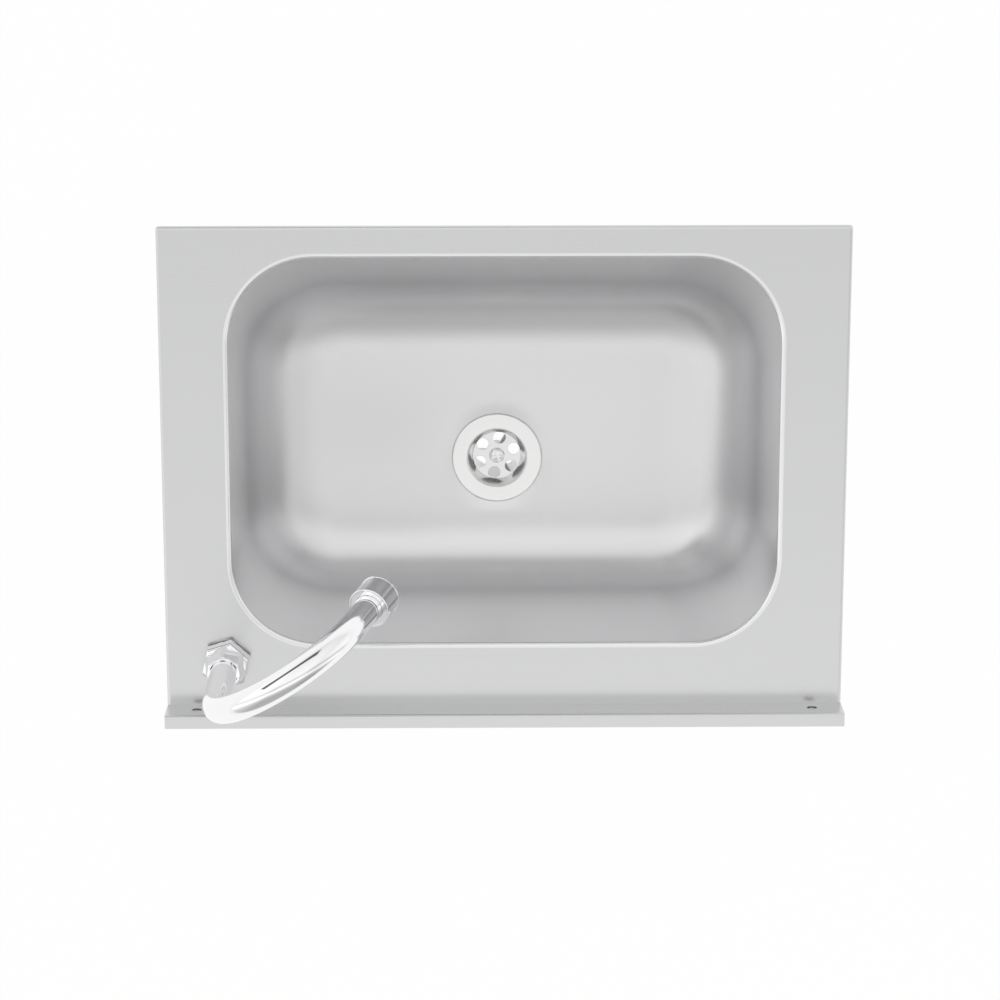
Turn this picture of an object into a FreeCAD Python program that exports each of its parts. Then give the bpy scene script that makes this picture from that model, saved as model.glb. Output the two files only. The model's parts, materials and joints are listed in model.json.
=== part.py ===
import FreeCAD, Part
import math
import os
import re

import Sketcher
from FreeCAD import Placement, Rotation, Vector

# Wall-hung stainless hand wash basin, worked by a knee panel, with a swivel gooseneck spout.
# Millimetres and degrees. +Z is up, +Y points at the wall, X runs along the wall.
# Origin: middle of the rear rail's back face, on the wall plane, level with the worktop.

doc = FreeCAD.newDocument("HandWashSink")

SIZES = (
    # worktop sheet
    ("sheetThick", 1, "worktop, bowl and side sheet"),
    ("bendRadius", 2, "outside radius of the folds"),
    ("apronHeight", 30, "folded edge below the worktop"),
    ("frontLean", 9, "lean of the front towards the wall"),
    ("upstandHeight", 20, "upstand above the worktop"),
    ("upstandDepth", 8, "upstand face to wall"),
    ("screwHoleDia", 6, "wall screw holes"),
    ("screwFromSide", 18, "wall screws from the side edges"),
    ("screwHoleHeight", 8.6, "upper wall screws above the worktop"),
    # bowl
    ("bowlLength", 320, "opening along the wall"),
    ("bowlWidth", 230, "opening front to back"),
    ("bowlDepth", 130, "rim to floor"),
    ("bowlCorner", 50, "corner radius of the opening"),
    ("bowlFoot", 40, "radius between wall and floor"),
    ("bowlFloorCorner", 48, "corner radius of the walls carried down to the floor"),
    ("bowlTaper", 4, "draft of the side and rear walls"),
    ("bowlFrontLean", 18, "slope of the front wall, from upright"),
    ("bowlFrontMargin", 19, "front edge to opening"),
    ("bowlRearMargin", 46, "opening to wall"),
    ("bowlSideMargin", 40, "side edges to opening"),
    ("rimRadius", 2.5, "rolled rim"),
    ("rimLand", 4, "flat of the bowl flange"),
    # waste
    ("wasteOffsetX", 3, "waste from the bowl centre"),
    ("wasteOffsetY", 33, "waste behind the bowl centre"),
    ("seatRadius", 34, "pressed seat round the waste"),
    ("seatFlatRadius", 30, "flat of the seat"),
    ("seatDepth", 2.5, "seat below the floor"),
    ("wasteHoleRadius", 21.5, "hole in the bowl"),
    ("wasteFlangeRadius", 28, "waste flange"),
    ("wasteFlangeThick", 1.5, "waste flange edge"),
    ("wasteMouthRadius", 18.5, "mouth of the strainer cup"),
    ("strainerRadius", 15.3, "floor of the strainer cup"),
    ("strainerDrop", 8.5, "strainer below the flange"),
    ("cupThick", 1.2, "wall of the strainer cup"),
    ("strainerHoleRadius", 3.85, "strainer holes"),
    ("strainerPitchRadius", 11.5, "circle of the strainer holes"),
    ("strainerPhase", 21.5, "turn of the strainer holes"),
    ("wasteScrewRadius", 3, "waste screw shank"),
    ("wasteHeadRadius", 4.9, "waste screw head"),
    ("upperSealThick", 1.5, "seal under the waste flange"),
    ("lowerSealThick", 4, "seal under the bowl"),
    ("bodyFlangeThick", 3, "flange of the waste body"),
    ("tailRadius", 20.95, "inch and a quarter tail thread"),
    ("tailBore", 17.5, "bore radius of the tail"),
    ("tailLength", 42, "tail below its flange"),
    ("spiderDrop", 8, "spider below the body flange"),
    ("spiderHeight", 10, "boss of the spider"),
    ("bossRadius", 6, "boss of the spider"),
    ("spokeWidth", 3, "spokes of the spider"),
    # tap base and gland
    ("tapFromSide", 35.6, "tap axis to the side edge"),
    ("tapFromWall", 35.2, "tap axis to the wall"),
    ("tapHoleRadius", 11, "tap hole"),
    ("gasketThick", 1, "gasket under the tap base"),
    ("gasketRadius", 12, "gasket under the tap base"),
    ("baseFlangeRadius", 12.5, "round foot of the tap base"),
    ("baseFlangeThick", 2.5, "round foot of the tap base"),
    ("halfInchRadius", 10.45, "half inch threads of shank, inlet and outlet"),
    ("shankLength", 40, "shank below the worktop"),
    ("shankBore", 5, "water way of the shank"),
    ("glandThreadRadius", 9, "upper thread of the tap base"),
    ("glandThreadHeight", 8, "upper thread of the tap base"),
    ("socketRadius", 7.08, "bore that the spout turns in"),
    ("socketDepth", 14, "bore that the spout turns in"),
    ("nutFlats", 26, "gland nut across flats"),
    ("nutTurn", 17, "turn of the gland nut"),
    ("nutPrism", 10, "worktop to the top of the flats"),
    ("nutTop", 26, "worktop to the top of the gland nut"),
    ("nutCollarRadius", 9.5, "round top of the gland nut"),
    ("nutCollarHeight", 2, "round top of the gland nut"),
    ("backNutFlats", 27, "back nut across flats"),
    ("backNutThick", 6, "back nut"),
    ("backWasherRadius", 15, "washer above the back nut"),
    ("backWasherThick", 1.5, "washer above the back nut"),
    ("threadClearance", 0.1, "nuts round their threads"),
    # spout
    ("spoutRadius", 8, "spout tube"),
    ("spoutWall", 1, "spout tube wall"),
    ("spoutRise", 80, "worktop to the start of the bend"),
    ("spoutBend", 50, "bend radius of the gooseneck"),
    ("spoutSweep", 153, "angle of the gooseneck"),
    ("spoutEnd", 20, "straight end, up to the aerator rim"),
    ("spoutTurn", 33, "rest direction of the spout, forward of the wall line"),
    ("tailSpigot", 7, "spigot that turns in the socket"),
    ("tailCollar", 8.9, "collar held under the gland nut"),
    ("tailCollarThick", 2.4, "collar held under the gland nut"),
    ("tailBoreRadius", 4.2, "water way of the spout tail"),
    ("ringThick", 0.85, "half the thickness of the sealing rings"),
    ("bushThick", 1, "bearing bush above the collar"),
    ("runGap", 0.3, "gap between pieces that move past each other"),
    ("snugGap", 0.05, "gap between pieces that are fixed in each other"),
    ("aeratorRadius", 12, "aerator housing"),
    ("aeratorLength", 16.5, "aerator housing"),
    ("aeratorStep", 1.6, "aerator neck beyond the tube"),
    ("aeratorNeckHeight", 1.8, "step between tube and aerator"),
    ("aeratorWall", 1.4, "wall of the aerator housing"),
    ("aeratorSocket", 6, "depth of the tube in the housing"),
    ("aeratorWasherThick", 1.5, "washer in the aerator"),
    ("aeratorLip", 1, "insert behind the outlet edge"),
    ("jetRadius", 1.9, "holes of the aerator insert"),
    ("jetPitchRadius", 6.4, "circle of the aerator holes"),
    # side panels and rear rail
    ("cabinetHeight", 200, "worktop to the lower edge of the sides"),
    ("sideFlange", 20, "rear flange of the sides"),
    ("sideLip", 8, "front lip of the sides"),
    ("railThick", 1.2, "rear rail"),
    ("railDrop", 45, "rear rail below the worktop"),
    ("railFlange", 12, "lower flange of the rear rail"),
    ("lowerScrewRise", 30, "lower wall screws above the lower edge of the sides"),
    # knee panel
    ("panelThick", 1.2, "knee panel sheet"),
    ("panelSideGap", 1.5, "knee panel to each side, filled by a washer"),
    ("panelAbove", 20, "knee panel above its pivot"),
    ("panelFootGap", 7, "knee panel above the lower edge of the sides"),
    ("panelFlange", 20, "side and lower flanges of the knee panel"),
    ("pivotDrop", 35, "pivot below the worktop"),
    ("pivotInset", 8, "pivot behind the panel face"),
    ("pivotRadius", 3, "pivot pin"),
    ("pivotClearance", 0.08, "pivot pin in its hole"),
    ("pivotReach", 9, "pivot pin beyond the side panel"),
    ("pivotWasherRadius", 7, "washer on the pivot"),
    ("pivotNutFlats", 10, "nut on the pivot"),
    ("pivotNutThick", 4, "nut on the pivot"),
    ("bumperWidth", 26, "rubber bumper"),
    ("bumperHeight", 28, "rubber bumper"),
    ("bumperThick", 7, "rubber bumper at its middle"),
    # knee valve
    ("valveFromTap", 54.4, "valve axis inwards of the tap axis"),
    ("valveRise", 35, "valve axis above the lower edge of the sides"),
    ("valveNeckRadius", 9.9, "threaded neck"),
    ("valveNeckLength", 11, "threaded neck, from the bracket's back"),
    ("valveBodyRadius", 14, "valve shoulder"),
    ("valveShoulder", 12, "valve shoulder"),
    ("valveBarrelRadius", 12.5, "valve barrel"),
    ("valveLength", 50, "bracket to the end of the barrel"),
    ("inletLength", 14, "half inch inlet thread"),
    ("inletBore", 7, "bore of the inlet"),
    ("inletBoreDepth", 36, "bore of the inlet"),
    ("outletPlace", 32, "outlet behind the bracket"),
    ("outletReach", 24, "valve axis to the end of the outlet"),
    ("stemRadius", 4.2, "push stem"),
    ("stemClearance", 0.08, "push stem in its bore"),
    ("stemGrip", 9, "push stem inside the valve at rest"),
    ("valveStroke", 8, "travel of the push button"),
    ("buttonRadius", 9, "push button"),
    ("buttonThick", 6, "push button"),
    ("buttonDome", 1.5, "dome of the push button"),
    ("lockNutFlats", 27, "lock nut of the valve"),
    ("lockNutThick", 5, "lock nut of the valve"),
    ("bracketThick", 1.5, "valve bracket"),
    ("bracketHeight", 42, "valve bracket"),
    ("bracketMargin", 20, "bracket beyond the valve axis"),
    ("bracketFlange", 26, "bracket flange on the side panel"),
    # feed pipe
    ("pipeRadius", 5, "feed pipe"),
    ("pipeWall", 1, "feed pipe wall"),
    ("pipeBend", 20, "bends of the feed pipe"),
    ("pipeNutFlats", 24, "union nuts"),
    ("pipeNutThread", 9, "union nut over its thread"),
    ("pipeNutCap", 6, "closed end of the union nut"),
    ("pipeNutWall", 2.5, "end wall of the union nut"),
)

# Sizes that follow from the ones above
FOLLOWING = (
    ("deckWidth", "=bowlLength + 2 * bowlSideMargin", "worktop, side to side"),
    ("deckDepth", "=bowlFrontMargin + bowlWidth + bowlRearMargin", "front edge to wall"),
    ("screwHoleSpacing", "=deckWidth - 2 * screwFromSide", "between the wall screws"),
    ("aeratorNeckRadius", "=spoutRadius + aeratorStep", "step between tube and aerator"),
    ("aeratorBore", "=aeratorRadius - aeratorWall", "inside of the aerator housing"),
    ("lowerScrewDrop", "=cabinetHeight - lowerScrewRise", "lower wall screws below the worktop"),
    ("panelBelow", "=(cabinetHeight - pivotDrop - panelFootGap) / cos(frontLean)", "knee panel below its pivot"),
    ("valveX", "=deckWidth / 2 - tapFromSide - valveFromTap", "valve axis from the middle"),
    ("valveDrop", "=cabinetHeight - valveRise", "valve axis below the worktop"),
)

sheet = doc.addObject("Spreadsheet::Sheet", "Sizes")
for row, (alias, size, note) in enumerate(SIZES + FOLLOWING, start=1):
    sheet.set(f"A{row}", alias)
    sheet.set(f"B{row}", str(size))
    sheet.set(f"C{row}", note)
    sheet.setAlias(f"B{row}", alias)
doc.recompute()

ALIASES = {alias for alias, size, note in SIZES + FOLLOWING}
EDGE_TOLERANCE = 0.02

# Places that several sub-parts share, as formulas of the sheet's sizes
leanTan = "tan(frontLean)"
leanCos = "cos(frontLean)"
innerFront = f"(-deckDepth + sheetThick / {leanCos})"
bowlY = "(-deckDepth + bowlFrontMargin + bowlWidth / 2)"
floorZ = "(-bowlDepth)"
wasteX = "wasteOffsetX"
wasteY = f"({bowlY} + wasteOffsetY)"
wasteZ = "(-bowlDepth - seatDepth)"
tapX = "(deckWidth / 2 - tapFromSide)"
tapY = "(-tapFromWall)"
sideX = "(deckWidth / 2 - sheetThick)"
sideInnerX = "(deckWidth / 2 - 2 * sheetThick)"
panelInset = "(2 * sheetThick + runGap)"
pivotY = f"(-deckDepth + pivotDrop * {leanTan} + ({panelInset} + pivotInset) / {leanCos})"
pivotZ = "(-pivotDrop)"
panelBackY = f"(-deckDepth + valveDrop * {leanTan} + ({panelInset} + panelThick) / {leanCos})"
bumperFaceY = f"({panelBackY} + bumperThick)"
buttonReach = "(valveNeckLength + valveStroke + runGap + buttonThick + buttonDome)"
valveY = f"({bumperFaceY} + runGap + {buttonReach})"
valveZ = "(-valveDrop)"
outletY = f"({valveY} + outletPlace)"


# ---------- small tools ----------

def formula(text):
    def link(word):
        return "Sizes." + word.group() if word.group() in ALIASES else word.group()
    return re.sub(r"[A-Za-z]\w*", link, text)


def value(text):
    return float(sheet.evalExpression(formula(str(text))))


def bind(thing, path, text):
    thing.setExpression(path, formula(str(text)))


def place(thing, x="0", y="0", z="0", rotation=Rotation()):
    thing.Placement = Placement(Vector(value(x), value(y), value(z)), rotation)
    for axis, text in zip("xyz", (x, y, z)):
        bind(thing, f"Placement.Base.{axis}", text)


def newBody(node, severalSolids=False):
    body = doc.addObject("PartDesign::Body", node)
    body.Label = node
    body.AllowCompound = severalSolids
    return body


def newSketch(body, plane, offset="0"):
    sketch = body.newObject("Sketcher::SketchObject", body.Name + "_sketch")
    support = [part for part in body.Origin.OriginFeatures if part.Role == plane][0]
    sketch.AttachmentSupport = [(support, "")]
    sketch.MapMode = "FlatFace"
    bind(sketch, "AttachmentOffset.Base.z", offset)
    return sketch


def lockPoint(sketch, shape, end, x, y):
    for kind, text in (("DistanceX", x), ("DistanceY", y)):
        rule = sketch.addConstraint(Sketcher.Constraint(kind, -1, 1, shape, end, value(text)))
        bind(sketch, f"Constraints[{rule}]", text)


def addPolygon(sketch, corners):
    points = [Vector(value(x), value(y), 0) for x, y in corners]
    first = sketch.GeometryCount
    count = len(points)
    for index, point in enumerate(points):
        sketch.addGeometry(Part.LineSegment(point, points[(index + 1) % count]), False)
    for index, (x, y) in enumerate(corners):
        after = first + (index + 1) % count
        sketch.addConstraint(Sketcher.Constraint("Coincident", first + index, 2, after, 1))
        lockPoint(sketch, first + index, 1, x, y)


def addCircle(sketch, x, y, radius):
    centre = Vector(value(x), value(y), 0)
    circle = sketch.addGeometry(Part.Circle(centre, Vector(0, 0, 1), value(radius)), False)
    lockPoint(sketch, circle, 3, x, y)
    rule = sketch.addConstraint(Sketcher.Constraint("Radius", circle, value(radius)))
    bind(sketch, f"Constraints[{rule}]", radius)


def addRoundedRectangle(sketch, x, y, length, width, radius):
    turns = ((1, 1), (-1, 1), (-1, -1), (1, -1))
    arcs = []
    for index, (right, up) in enumerate(turns):
        cornerX = f"{x} + {right} * (({length}) / 2 - ({radius}))"
        cornerY = f"{y} + {up} * (({width}) / 2 - ({radius}))"
        centre = Vector(value(cornerX), value(cornerY), 0)
        circle = Part.Circle(centre, Vector(0, 0, 1), value(radius))
        start = index * math.pi / 2
        arc = sketch.addGeometry(Part.ArcOfCircle(circle, start, start + math.pi / 2), False)
        lockPoint(sketch, arc, 3, cornerX, cornerY)
        rule = sketch.addConstraint(Sketcher.Constraint("Radius", arc, value(radius)))
        bind(sketch, f"Constraints[{rule}]", radius)
        arcs.append(arc)
    for index, arc in enumerate(arcs):
        after = arcs[(index + 1) % 4]
        ends = sketch.Geometry[arc].EndPoint, sketch.Geometry[after].StartPoint
        line = sketch.addGeometry(Part.LineSegment(*ends), False)
        sketch.addConstraint(Sketcher.Constraint("Tangent", arc, 2, line, 1))
        sketch.addConstraint(Sketcher.Constraint("Tangent", line, 2, after, 1))


def feature(body, kind, sketch, **settings):
    made = body.newObject("PartDesign::" + kind, body.Name + "_" + kind.lower())
    made.Profile = sketch
    sketch.Visibility = False
    for name, setting in settings.items():
        if isinstance(setting, str) and name in ("Length", "TaperAngle", "Angle"):
            bind(made, name, setting)
        else:
            setattr(made, name, setting)
    doc.recompute()
    return made


def revolve(body, corners, kind="Revolution", plane="XZ_Plane"):
    sketch = newSketch(body, plane)
    addPolygon(sketch, corners)
    return feature(body, kind, sketch, ReferenceAxis=(sketch, ["V_Axis"]), Angle="360")


def isAt(edge, **limits):
    box = edge.BoundBox
    for name, text in limits.items():
        wanted = value(text)
        low = getattr(box, name.upper() + "Min")
        high = getattr(box, name.upper() + "Max")
        if abs(low - wanted) > EDGE_TOLERANCE or abs(high - wanted) > EDGE_TOLERANCE:
            return False
    return True


def hasRadius(edge, radius):
    return abs(getattr(edge.Curve, "Radius", 0) - value(radius)) < EDGE_TOLERANCE


def edgesWhere(body, test):
    shape = body.Tip.Shape
    return [f"Edge{index}" for index, edge in enumerate(shape.Edges, start=1) if test(edge)]


def roundEdges(body, radius, test, kind="Fillet"):
    names = edgesWhere(body, test)
    if not names:
        raise ValueError(f"{body.Label}: no edge to round")
    base = body.Tip
    made = body.newObject("PartDesign::" + kind, body.Name + "_" + kind.lower())
    made.Base = (base, names)
    bind(made, "Radius" if kind == "Fillet" else "Size", radius)
    doc.recompute()
    return made


def hexagon(flats, turn=0):
    corner = f"({flats}) / 2 / cos(30)"
    return [(f"{corner} * cos({60 * k} + {turn})", f"{corner} * sin({60 * k} + {turn})") for k in range(6)]


def hexNut(node, flats, thick, bore, base="0", severalSolids=False):
    body = newBody(node, severalSolids)
    sketch = newSketch(body, "XY_Plane", base)
    addPolygon(sketch, hexagon(flats))
    addCircle(sketch, "0", "0", bore)
    feature(body, "Pad", sketch, Length=thick)
    revolve(body, nutCrown(flats, thick, base), kind="Groove")
    return body


def nutCrown(flats, thick, base):
    # the corners of both faces are turned down at 30 degrees
    top = f"({base}) + ({thick})"
    corner = f"({flats}) / 2 / cos(30) + 1"
    drop = f"(({flats}) / 2 / cos(30) + 1 - ({flats}) / 2 * 0.97) * tan(30)"
    return [(f"({flats}) / 2 * 0.97", top), (corner, top), (corner, f"{top} - {drop}")]


# ---------- worktop, bowl and cabinet ----------

def makeWorktop():
    body = newBody("worktop")
    sketch = newSketch(body, "YZ_Plane")
    inner = f"{innerFront} + sheetThick * {leanTan}"
    foot = f"apronHeight * {leanTan}"
    addPolygon(sketch, [
        ("-deckDepth", "0"), ("-upstandDepth", "0"), ("-upstandDepth", "upstandHeight"),
        ("0", "upstandHeight"), ("0", "upstandHeight - sheetThick"),
        ("-upstandDepth + sheetThick", "upstandHeight - sheetThick"),
        ("-upstandDepth + sheetThick", "-sheetThick"), (inner, "-sheetThick"),
        (f"{innerFront} + {foot}", "-apronHeight"), (f"-deckDepth + {foot}", "-apronHeight"),
    ])
    feature(body, "Pad", sketch, Length="deckWidth", Midplane=True)
    roundUpstandFolds(body)
    for side in (1, -1):
        addSideApron(body, side)
    roundApronFolds(body)
    opening = newSketch(body, "XY_Plane", "1")
    wider = "2 * (rimRadius + rimLand)"
    addRoundedRectangle(opening, "0", bowlY, f"bowlLength + {wider}", f"bowlWidth + {wider}",
                        "bowlCorner + rimRadius + rimLand")
    feature(body, "Pocket", opening, Length="4 * sheetThick")
    tapHole = newSketch(body, "XY_Plane", "1")
    addCircle(tapHole, tapX, tapY, "tapHoleRadius")
    feature(body, "Pocket", tapHole, Length="4 * sheetThick")
    screws = newSketch(body, "XZ_Plane", "upstandDepth + 1")
    for side in (1, -1):
        addCircle(screws, f"{side} * screwHoleSpacing / 2", "screwHoleHeight", "screwHoleDia / 2")
    feature(body, "Pocket", screws, Length="2 * sheetThick + 1")
    return body


def addSideApron(body, side):
    edge = "deckWidth / 2" if side > 0 else "-deckWidth / 2 + sheetThick"
    sketch = newSketch(body, "YZ_Plane", edge)
    addPolygon(sketch, [
        ("-deckDepth", "0"), ("-upstandDepth + sheetThick", "0"),
        ("-upstandDepth + sheetThick", "-apronHeight"),
        (f"-deckDepth + apronHeight * {leanTan}", "-apronHeight"),
    ])
    feature(body, "Pad", sketch, Length="sheetThick", Reversed=True)


def roundUpstandFolds(body):
    innerY = "-upstandDepth + sheetThick"
    innerZ = "upstandHeight - sheetThick"
    roundEdges(body, "bendRadius", lambda edge: isAt(edge, y="-upstandDepth", z="upstandHeight"))
    roundEdges(body, "bendRadius - sheetThick", lambda edge: isAt(edge, y=innerY, z=innerZ))


def roundApronFolds(body):
    half = value("deckWidth / 2")
    front = value("-deckDepth")
    lean = value(leanTan)

    def onSide(edge):
        return abs(abs(edge.CenterOfMass.x) - half) < EDGE_TOLERANCE

    def outerFold(edge):
        middle = edge.CenterOfMass
        onFront = abs(middle.y - (front - middle.z * lean)) < EDGE_TOLERANCE
        topSide = onSide(edge) and isAt(edge, z="0") and edge.Length > value("apronHeight")
        topFront = isAt(edge, z="0", y="-deckDepth")
        corner = onSide(edge) and onFront and middle.z < -EDGE_TOLERANCE and middle.z > value("-apronHeight")
        return topSide or topFront or corner

    roundEdges(body, "bendRadius", outerFold)


def makeBowl():
    body = newBody("bowl")
    flange = newSketch(body, "XY_Plane")
    wider = "2 * (rimRadius + rimLand)"
    addRoundedRectangle(flange, "0", bowlY, f"bowlLength + {wider}", f"bowlWidth + {wider}",
                        "bowlCorner + rimRadius + rimLand")
    feature(body, "Pad", flange, Length="sheetThick", Reversed=True)
    addBowlWalls(body, "AdditiveLoft", "sheetThick")
    addBowlWalls(body, "SubtractiveLoft", "0")
    roundEdges(body, "bowlFoot", lambda edge: isAt(edge, z=floorZ))
    roundEdges(body, "bowlFoot + sheetThick", lambda edge: isAt(edge, z=f"{floorZ} - sheetThick"))
    roundEdges(body, "rimRadius - sheetThick", lambda edge: isBowlWall(edge, "sheetThick"))
    roundEdges(body, "rimRadius", lambda edge: isBowlWall(edge, "0"))
    addWasteSeat(body)
    return body


def addBowlWalls(body, kind, skin):
    # the front wall leans in more than the others, so the floor lies nearer the wall side
    depth = f"(bowlDepth + {skin})"
    draft = f"({depth} * tan(bowlTaper))"
    lean = f"({depth} * tan(bowlFrontLean))"
    length, width = f"bowlLength + 2 * {skin}", f"bowlWidth + 2 * {skin}"
    top = newSketch(body, "XY_Plane")
    addRoundedRectangle(top, "0", bowlY, length, width, f"bowlCorner + {skin}")
    bottom = newSketch(body, "XY_Plane", f"-{depth}")
    addRoundedRectangle(bottom, "0", f"{bowlY} + ({lean} - {draft}) / 2", f"{length} - 2 * {draft}",
                        f"{width} - {lean} - {draft}", f"bowlFloorCorner + {skin}")
    bottom.Visibility = False
    feature(body, kind, top, Sections=[bottom], Ruled=True)


def isBowlWall(edge, drop):
    # the loop where the wall meets the flange, and not the flange's own outer edge
    box = edge.BoundBox
    limit = value("bowlLength / 2 + rimRadius")
    level = isAt(edge, z=f"-({drop})")
    return level and max(abs(box.XMin), abs(box.XMax)) < limit and isInsideDepth(box)


def isInsideDepth(box):
    middle = value(bowlY)
    limit = value("bowlWidth / 2 + rimRadius")
    return max(abs(box.YMin - middle), abs(box.YMax - middle)) < limit


def addWasteSeat(body):
    # the seat is pressed down round the waste, so the sheet keeps its thickness
    level = f"{floorZ} - sheetThick"
    middle = f"{floorZ} - sheetThick / 2"
    addDish(body, "Revolution", [
        ("0", middle), ("seatRadius + sheetThick", middle), ("seatRadius + sheetThick", level),
        ("seatFlatRadius + sheetThick", f"{level} - seatDepth"), ("0", f"{level} - seatDepth"),
    ])
    addDish(body, "Groove", [
        ("0", floorZ), ("seatRadius", floorZ), ("seatFlatRadius", f"{floorZ} - seatDepth"),
        ("0", f"{floorZ} - seatDepth"),
    ])
    hole = newSketch(body, "XY_Plane", f"{floorZ}")
    addCircle(hole, wasteX, wasteY, "wasteHoleRadius")
    feature(body, "Pocket", hole, Length="3 * sheetThick + seatDepth")


def addDish(body, kind, corners):
    # turned about the waste axis, which is not the body's own
    sketch = newSketch(body, "XZ_Plane", f"-{wasteY}")
    addPolygon(sketch, [(f"{wasteX} + {radius}", height) for radius, height in corners])
    low, high = Vector(value(wasteX), 0, 0), Vector(value(wasteX), 10, 0)
    axis = sketch.addGeometry(Part.LineSegment(low, high), True)
    lockPoint(sketch, axis, 1, wasteX, "0")
    lockPoint(sketch, axis, 2, wasteX, "10")
    feature(body, kind, sketch, ReferenceAxis=(sketch, ["Axis0"]), Angle="360")


def makeSidePanel(side):
    body = newBody("right_side_panel" if side > 0 else "left_side_panel")
    outer = sideX if side > 0 else f"-{sideInnerX}"
    sketch = newSketch(body, "YZ_Plane", outer)
    ear = "-upstandDepth + bendRadius"
    addPolygon(sketch, [
        (f"{innerFront} + bendRadius * {leanTan}", "-bendRadius"), (ear, "-bendRadius"),
        (ear, "upstandHeight - sheetThick"), ("0", "upstandHeight - sheetThick"), ("0", "-cabinetHeight"),
        (f"{innerFront} + cabinetHeight * {leanTan}", "-cabinetHeight"),
    ])
    feature(body, "Pad", sketch, Length="sheetThick", Reversed=True)
    flange = newSketch(body, "XZ_Plane")
    reach = f"{side} * ({sideInnerX} - sideFlange)"
    addPolygon(flange, [
        (f"{side} * {sideX}", "-railDrop - sheetThick"), (reach, "-railDrop - sheetThick"),
        (reach, "-cabinetHeight"), (f"{side} * {sideX}", "-cabinetHeight"),
    ])
    feature(body, "Pad", flange, Length="sheetThick")
    addFrontLip(body, side)
    hole = newSketch(body, "XZ_Plane", "sheetThick + 1")
    addCircle(hole, f"{side} * screwHoleSpacing / 2", "-lowerScrewDrop", "screwHoleDia / 2")
    feature(body, "Pocket", hole, Length="sheetThick + 2")
    return body


def addFrontLip(body, side):
    # the lip lies behind the plane of the apron and begins level with the pivot, above which the panel swings out
    start = sideX if side > 0 else f"-{sideX} + sideLip + sheetThick"
    sketch = newSketch(body, "YZ_Plane", start)
    top = "pivotDrop"
    through = f"sheetThick / {leanCos}"
    addPolygon(sketch, [
        (f"{innerFront} + {top} * {leanTan}", f"-{top}"), (f"{innerFront} + {top} * {leanTan} + {through}", f"-{top}"),
        (f"{innerFront} + cabinetHeight * {leanTan} + {through}", "-cabinetHeight"),
        (f"{innerFront} + cabinetHeight * {leanTan}", "-cabinetHeight"),
    ])
    feature(body, "Pad", sketch, Length="sideLip + sheetThick", Reversed=True)


def makeRearRail():
    body = newBody("rear_rail")
    sketch = newSketch(body, "YZ_Plane")
    addPolygon(sketch, [
        ("0", "upstandHeight - sheetThick"), ("0", "-railDrop"), ("-railFlange", "-railDrop"),
        ("-railFlange", "-railDrop + railThick"), ("-railThick", "-railDrop + railThick"),
        ("-railThick", "upstandHeight - sheetThick"),
    ])
    feature(body, "Pad", sketch, Length=f"2 * {sideInnerX}", Midplane=True)
    roundEdges(body, "bendRadius", lambda edge: isAt(edge, y="0", z="-railDrop"))
    innerFold = {"y": "-railThick", "z": "-railDrop + railThick"}
    roundEdges(body, "bendRadius - railThick", lambda edge: isAt(edge, **innerFold))
    holes = newSketch(body, "XZ_Plane", "railThick + 1")
    for side in (1, -1):
        addCircle(holes, f"{side} * screwHoleSpacing / 2", "screwHoleHeight", "screwHoleDia / 2")
    feature(body, "Pocket", holes, Length="railThick + 2")
    return body


# ---------- waste ----------
# Its pieces stand on the waste axis, with z = 0 on the pressed seat.

flangeTop = "(upperSealThick + wasteFlangeThick)"
strainerTop = f"({flangeTop} - strainerDrop)"
wasteBodyTop = "(-sheetThick - lowerSealThick)"
bodyFlangeUnder = f"({wasteBodyTop} - bodyFlangeThick)"
tailEnd = f"({bodyFlangeUnder} - tailLength)"
spiderTop = f"({bodyFlangeUnder} - spiderDrop)"


def placeOnWaste(body):
    place(body, wasteX, wasteY, wasteZ)
    return body


def ring(node, inner, outer, low, high):
    body = newBody(node)
    revolve(body, [(inner, low), (outer, low), (outer, high), (inner, high)])
    return body


def makeWasteCup():
    body = newBody("waste_cup")
    under = f"{strainerTop} - cupThick"
    revolve(body, [
        ("0", strainerTop), ("strainerRadius", strainerTop), ("wasteMouthRadius", flangeTop),
        ("wasteFlangeRadius - 1", flangeTop), ("wasteFlangeRadius", f"{flangeTop} - 0.6"),
        ("wasteFlangeRadius", "upperSealThick"), ("wasteMouthRadius + cupThick", "upperSealThick"),
        ("strainerRadius + cupThick", under), ("0", under),
    ])
    roundEdges(body, "0.8", lambda edge: isAt(edge, z=flangeTop) and hasRadius(edge, "wasteMouthRadius"))
    holes = newSketch(body, "XY_Plane", f"{strainerTop} + 1")
    for k in range(6):
        turn = f"(strainerPhase + {60 * k})"
        addCircle(holes, f"strainerPitchRadius * cos({turn})", f"strainerPitchRadius * sin({turn})",
                  "strainerHoleRadius")
    addCircle(holes, "0", "0", "wasteScrewRadius + snugGap")
    feature(body, "Pocket", holes, Length="cupThick + 2")
    return placeOnWaste(body)


def makeWasteScrew():
    body = newBody("waste_screw")
    end = f"{spiderTop} - spiderHeight + 1"
    revolve(body, [
        ("0", f"{strainerTop} + 2.2"), ("wasteHeadRadius * 0.6", f"{strainerTop} + 2"),
        ("wasteHeadRadius", f"{strainerTop} + 0.8"), ("wasteHeadRadius", strainerTop),
        ("wasteScrewRadius", strainerTop), ("wasteScrewRadius", end), ("0", end),
    ])
    return placeOnWaste(body)


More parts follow.
